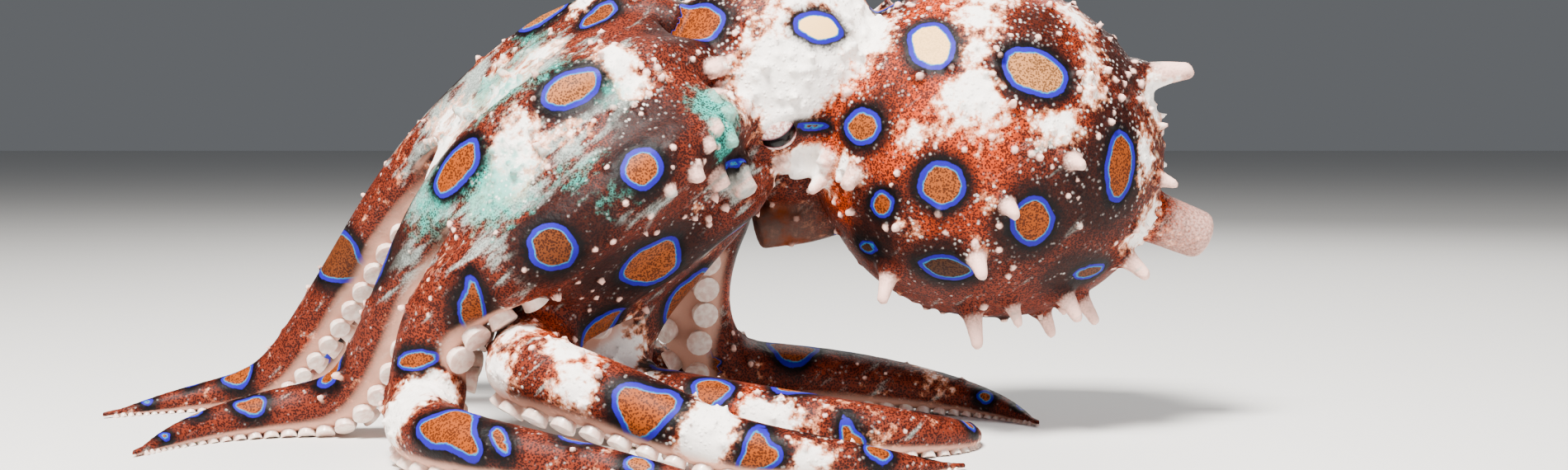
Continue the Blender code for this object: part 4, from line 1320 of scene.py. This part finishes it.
def paintSkin():
    made, shader, shade = newMaterial("octopus_skin")
    place = shade.node("ShaderNodeTexCoord", {}, {}, 3)

    def field(name):
        return shade.node("ShaderNodeAttribute", {"attribute_name": name}, {}, 2)

    def noise(perMm, detail=2.0, rough=0.55):
        return shade.node("ShaderNodeTexNoise", {}, {
            "Vector": place, "Scale": perMm / mm, "Detail": detail, "Roughness": rough})

    def cells(perMm):
        return shade.node("ShaderNodeTexVoronoi", {}, {"Vector": place, "Scale": perMm / mm}, 0)

    edge, pale = field("ringEdge"), field("ringPale")
    cloud, grain, fine = noise(0.22), noise(0.9, 3.0), noise(3.5, 1.0)
    edge = edge + (cloud - 0.5) * 0.5 + (grain - 0.5) * 0.4

    drawnOut = shade.node("ShaderNodeMapping", {"vector_type": "TEXTURE"}, {
        "Vector": place, "Rotation": (0.0, -math.radians(skinLook["streakSlope"]), 0.0),
        "Scale": (skinLook["streakLength"], skinLook["streakLength"], 1.0)})
    streak = shade.node("ShaderNodeTexNoise", {}, {
        "Vector": drawnOut, "Scale": skinLook["streaksPerMm"] / mm, "Detail": 2.0})

    shadeNear = 1.0 - edge.ramp(0.0, skinLook["shadeWidth"])
    misty = (field("mist") + (streak - 0.5) * 2.2 - shadeNear * 0.3).ramp(0.25, 0.75)
    whiteness = field("pale") * 1.15 - field("dusk") * 0.8 + (cloud - 0.5) * 1.0 + (grain - 0.5) * 1.2
    whiteness = whiteness - shadeNear * 0.35
    rusty = (field("rust") + (cloud - 0.5) * 0.9).ramp(0.05, 0.55)
    # dark tone: partly the skin's own, partly painted shade on the belly, the lower flank, below the web and
    # on the far arms
    darkToneAndShadeMask = (field("dusk") + shadeNear * 0.5 + (grain - 0.5) * 0.9 + (cloud - 0.5) * 0.5).ramp(0.1, 0.75)
    # teal: partly the skin's own, partly a painted tint of light
    tealToneAndTintMask = (field("teal") + (grain - 0.5) * 0.9).ramp(0.2, 0.7)

    base = shade.mix(rusty, colours["brown"], colours["rust"])
    base = shade.mix(misty * 0.9, base, colours["mist"])
    base = shade.mix(darkToneAndShadeMask * 0.92, base, colours["dusk"])
    base = shade.mix(whiteness.ramp(0.12, 0.46) * 0.8, base, colours["cream"])
    base = shade.mix(whiteness.ramp(0.32, 0.6), base, colours["white"])
    base = shade.mix(tealToneAndTintMask * 0.85, base, colours["teal"])

    # chromatophores: small dark dots, thinned out where the skin is pale
    spread = 1.0 - whiteness.ramp(0.1, 0.55) * 0.95
    clumped = cells(skinLook["dotsPerMm"]) + (fine - 0.5) * 0.3 + (grain - 0.5) * 0.5
    dots = (1.0 - clumped.ramp(0.40, 0.58)) * spread * (1.0 - misty * 0.5)
    base = shade.mix(dots * 0.86, base, colours["dot"])

    bare = field("underside").ramp(0.35, 0.8)
    base = shade.mix(bare * 0.85, base, colours["underside"])

    # warts and the finer granules between them are white at the tips
    pipe = field("pipe")
    granuleRoom = (field("pale") + (grain - 0.5) * 1.6).ramp(0.0, 0.6) * (1.0 - bare) * (1.0 - pipe)
    granules = (1.0 - (cells(skinLook["granulesPerMm"]) + (fine - 0.5) * 0.2).ramp(0.08, 0.4)) * granuleRoom
    warts = 1.0 - (field("wartNear") + (fine - 0.5) * 0.5).ramp(0.45, 1.2)
    base = shade.mix(granules * 0.75, base, colours["white"])
    greyed = (cloud + (grain - 0.5) * 0.5).ramp(0.35, 0.65)
    base = shade.mix(pipe * 0.9, base, shade.mix(greyed, colours["pipe"], colours["pipeGrey"]))
    tipTone = shade.mix(whiteness.ramp(0.2, 0.7), colours["tip"], colours["white"])
    tipTone = shade.mix(misty * 0.85, tipTone, colours["mist"])
    # wart tips take the teal too, partly a painted tint of light
    tipTone = shade.mix(tealToneAndTintMask * 0.8, tipTone, colours["teal"])
    base = shade.mix(warts * (0.9 - pipe * 0.8), base, tipTone)

    # the rings, from their dark halo to the speckled middle
    halo = 1.0 - (edge + (grain - 0.5) * 1.0 + (fine - 0.5) * 0.5).ramp(0.1, skinLook["haloWidth"])
    ringRoom = 1.0 - bare
    base = shade.mix(halo * 0.985 * ringRoom, base, colours["halo"])
    # a ring's middle is darker where its paleness is low; on the belly, the far arm and under the web that
    # darkness is painted shade
    fill = shade.mix(pale.ramp(0.0, 1.0), colours["fill"], colours["fillPale"])
    fill = shade.mix((0.0 - pale).ramp(0.0, 1.0), fill, colours["fillDarkAndShade"])
    fillDots = dots * (1.0 - pale.ramp(0.2, 1.0) * 0.9)
    fill = shade.mix(fillDots * 0.75, fill, colours["dot"])
    blue = edge + field("ringLine") + (fine - 0.5) * 0.12
    inner = blue + skinLook["innerLineWidth"]
    fill = shade.mix(inner.ramp(-0.08, 0.06), fill, colours["lineInner"])
    fill = shade.mix(blue.ramp(-0.06, 0.08), fill, colours["line"])
    base = shade.mix((1.0 - edge.ramp(-0.06, 0.06)) * ringRoom, base, fill)

    onSkinOnly = edge.ramp(0.0, 0.5)
    height = (granules * 0.5 + grain * 0.5) * onSkinOnly + fine * 0.1
    bump = shade.node("ShaderNodeBump", {}, {"Height": height, "Strength": 0.6, "Distance": 0.35 * mm})
    rough = 0.55 + (grain - 0.5) * 0.25
    for socket, value in (("Base Color", base), ("Roughness", rough), ("Normal", bump)):
        made.node_tree.links.new(value.socket, shader.inputs[socket])
    shader.inputs["Specular IOR Level"].default_value = 0.12
    return made


skin.data.materials.clear()
skin.data.materials.append(paintSkin())


# Suckers: one is modelled and copied along the arms in two rows, out to the tips.
suckerForm = {
    "sides": 14,
    "height": 1.5,  # of the radius, as are the next five
    "foot": 0.7,
    "rim": 0.32,
    "depth": 0.6,
    "bottom": 0.6,
    "bevel": 0.13,
    "first": 0.07,
    "last": 0.985,
    "spacing": 1.12,  # of the radius, from one row's sucker to the other row's
}


def suckerModel():
    deselectAll()
    bpy.ops.mesh.primitive_cylinder_add(
        vertices=suckerForm["sides"], radius=1.0, depth=suckerForm["height"])
    made = named("sucker_model")
    points = corners(made)
    foot = points[:, 2] < 0
    points[foot, :2] *= suckerForm["foot"]
    setCorners(made, points)
    for face in made.data.polygons:
        face.select = face.normal.z > 0.9
    bpy.ops.object.mode_set(mode="EDIT")
    bpy.ops.mesh.inset(thickness=suckerForm["rim"])
    bpy.ops.mesh.extrude_region_move(TRANSFORM_OT_translate={"value": (0.0, 0.0, -suckerForm["depth"])})
    bpy.ops.transform.resize(value=(suckerForm["bottom"], suckerForm["bottom"], 1.0))
    bpy.ops.object.mode_set(mode="OBJECT")
    bevel = made.modifiers.new("Bevel", "BEVEL")
    bevel.width, bevel.segments = suckerForm["bevel"], 2
    applyAll(made)
    return made


model = suckerModel()
cups = []
for limb in limbs:
    length = sum((b - a).length for a, b in zip(limb.points, limb.points[1:]))
    share, side = suckerForm["first"], 1
    while share < suckerForm["last"]:
        radius = suckerRadius(limb.radius(share))
        foot, out = limb.surface(share, side * armForm["suckerAngle"])
        height = radius * armForm["suckerHeightShare"]
        middle = place(foot + out * (height - suckerForm["height"] / 2 * radius))
        size = Matrix.Diagonal((radius * mm,) * 3).to_4x4()
        cup = linked("sucker", model.data.copy())
        cup.data.transform(Matrix.Translation(middle) @ upTo(out) @ size)
        cups.append(cup)
        share += radius * suckerForm["spacing"] / length
        side = -side
bpy.data.objects.remove(model)
suckers = joined(cups, "suckers")
points = corners(suckers)
points[:, 2] = np.maximum(points[:, 2], 0.0)
setCorners(suckers, points)
choose(suckers)
bpy.ops.object.shade_smooth_by_angle(angle=math.radians(50))
print(len(cups), "suckers")


def paintSuckers():
    made, shader, shade = newMaterial("sucker_skin")
    place = shade.node("ShaderNodeTexCoord", {}, {}, 3)
    mottle = shade.node("ShaderNodeTexNoise", {}, {"Vector": place, "Scale": 1.2 / mm, "Detail": 3.0})
    base = shade.mix(mottle.ramp(0.35, 0.65), (0.86, 0.72, 0.64, 1.0), (0.70, 0.48, 0.40, 1.0))
    bump = shade.node("ShaderNodeBump", {}, {"Height": mottle, "Strength": 0.3, "Distance": 0.2 * mm})
    for socket, value in (("Base Color", base), ("Roughness", 0.3 + mottle * 0.2), ("Normal", bump)):
        made.node_tree.links.new(value.socket, shader.inputs[socket])
    shader.inputs["Subsurface Weight"].default_value = 0.2
    shader.inputs["Subsurface Radius"].default_value = (1.0, 0.4, 0.25)
    shader.inputs["Subsurface Scale"].default_value = 0.6 * mm
    shader.inputs["Coat Weight"].default_value = 0.3
    return made


suckers.data.materials.clear()
suckers.data.materials.append(paintSuckers())

# Eyes: a wet ball with a level dark slit in a pale iris.
eyeLook = {
    "slitHalfLength": 0.78,  # shares of the eye's radius
    "slitHalfHeight": 0.22,
    "slitBow": 0.24,
}


def makeEye(name, side):
    out = eyeDirection(side)
    made = ball(name, eyeCentre(side), eye["radius"], out, segments=96, rings=64)
    level = across(headForward, out)
    upward = out.cross(level) * (1.0 if out.cross(level).z > 0 else -1.0)
    reach = (corners(made) - np.array(place(eyeCentre(side)))) / (eye["radius"] * mm)
    front = reach @ np.array(out)
    x, y = reach @ np.array(level), reach @ np.array(upward)
    bow = y - eyeLook["slitBow"] * (x / eyeLook["slitHalfLength"]) ** 2 + eyeLook["slitBow"] * 0.5
    slit = np.hypot(x / eyeLook["slitHalfLength"], bow / eyeLook["slitHalfHeight"]) - 1.0
    slit = np.where(front > 0, slit, 2.0)
    layer = made.data.attributes.new("slit", "FLOAT", "POINT")
    layer.data.foreach_set("value", slit.astype(np.float32))
    choose(made)
    bpy.ops.object.shade_smooth()
    return made


def paintEye():
    made, shader, shade = newMaterial("eye_wet")
    place = shade.node("ShaderNodeTexCoord", {}, {}, 3)
    slit = shade.node("ShaderNodeAttribute", {"attribute_name": "slit"}, {}, 2)
    fleck = shade.node("ShaderNodeTexNoise", {}, {"Vector": place, "Scale": 3.0 / mm, "Detail": 4.0})
    iris = shade.mix(fleck.ramp(0.38, 0.6), (0.50, 0.22, 0.18, 1.0), (0.92, 0.74, 0.70, 1.0))
    base = shade.mix(1.0 - slit.ramp(0.05, 0.45), iris, (0.12, 0.03, 0.05, 1.0))
    base = shade.mix(1.0 - slit.ramp(-0.05, 0.1), base, (0.0005, 0.0005, 0.0008, 1.0))
    made.node_tree.links.new(base.socket, shader.inputs["Base Color"])
    shader.inputs["Roughness"].default_value = 0.25
    shader.inputs["Specular IOR Level"].default_value = 0.12
    shader.inputs["Coat Weight"].default_value = 0.12
    shader.inputs["Coat Roughness"].default_value = 0.06
    return made


eyePaint = paintEye()
eyes = []
for name, side in (("eye_left", 1), ("eye_right", -1)):
    made = makeEye(name + "_ball", side)
    made.data.materials.clear()
    made.data.materials.append(eyePaint)
    eyes.append((made, name))
print("eyes set")

flesh = [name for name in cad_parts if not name.startswith("eye")]
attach(skin, "root")
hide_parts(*flesh)
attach(suckers, "root")
for made, name in eyes:
    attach(made, "root")
    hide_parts(name)

# The floor and the studio light.
studio = {
    "floorSize": 6.0,
    "floorColour": (0.72, 0.71, 0.69, 1.0),
    "world": (0.80, 0.84, 0.90, 1.0),
    "worldStrength": 0.16,
    "lights": {  # place in mm, size in mm, watts, colour
        "key": ((-70, -250, 400), 120, 11.5, (1.0, 0.97, 0.93)),
        "fill": ((320, -260, 150), 240, 0.5, (0.90, 0.94, 1.0)),
        "rim": ((140, 320, 320), 220, 1.4, (1.0, 0.98, 0.95)),
    },
}
deselectAll()
bpy.ops.mesh.primitive_plane_add(size=studio["floorSize"])
floor = named("studio_floor")
paint, shader, shade = newMaterial("floor_paint")
shader.inputs["Base Color"].default_value = studio["floorColour"]
shader.inputs["Roughness"].default_value = 0.7
floor.data.materials.append(paint)

for name, (spot, size, watts, colour) in studio["lights"].items():
    bpy.ops.object.light_add(type="AREA", location=Vector(spot) * mm)
    light = named(name)
    light.data.energy, light.data.size, light.data.color = watts, size * mm, colour
    light.rotation_euler = (Vector((0, 0, 25)) - Vector(spot)).to_track_quat("-Z", "Y").to_euler()
world = bpy.data.worlds.new("studio_world")
world.use_nodes = True
world.node_tree.nodes["Background"].inputs["Color"].default_value = studio["world"]
world.node_tree.nodes["Background"].inputs["Strength"].default_value = studio["worldStrength"]
bpy.context.scene.world = world

print("scene complete")
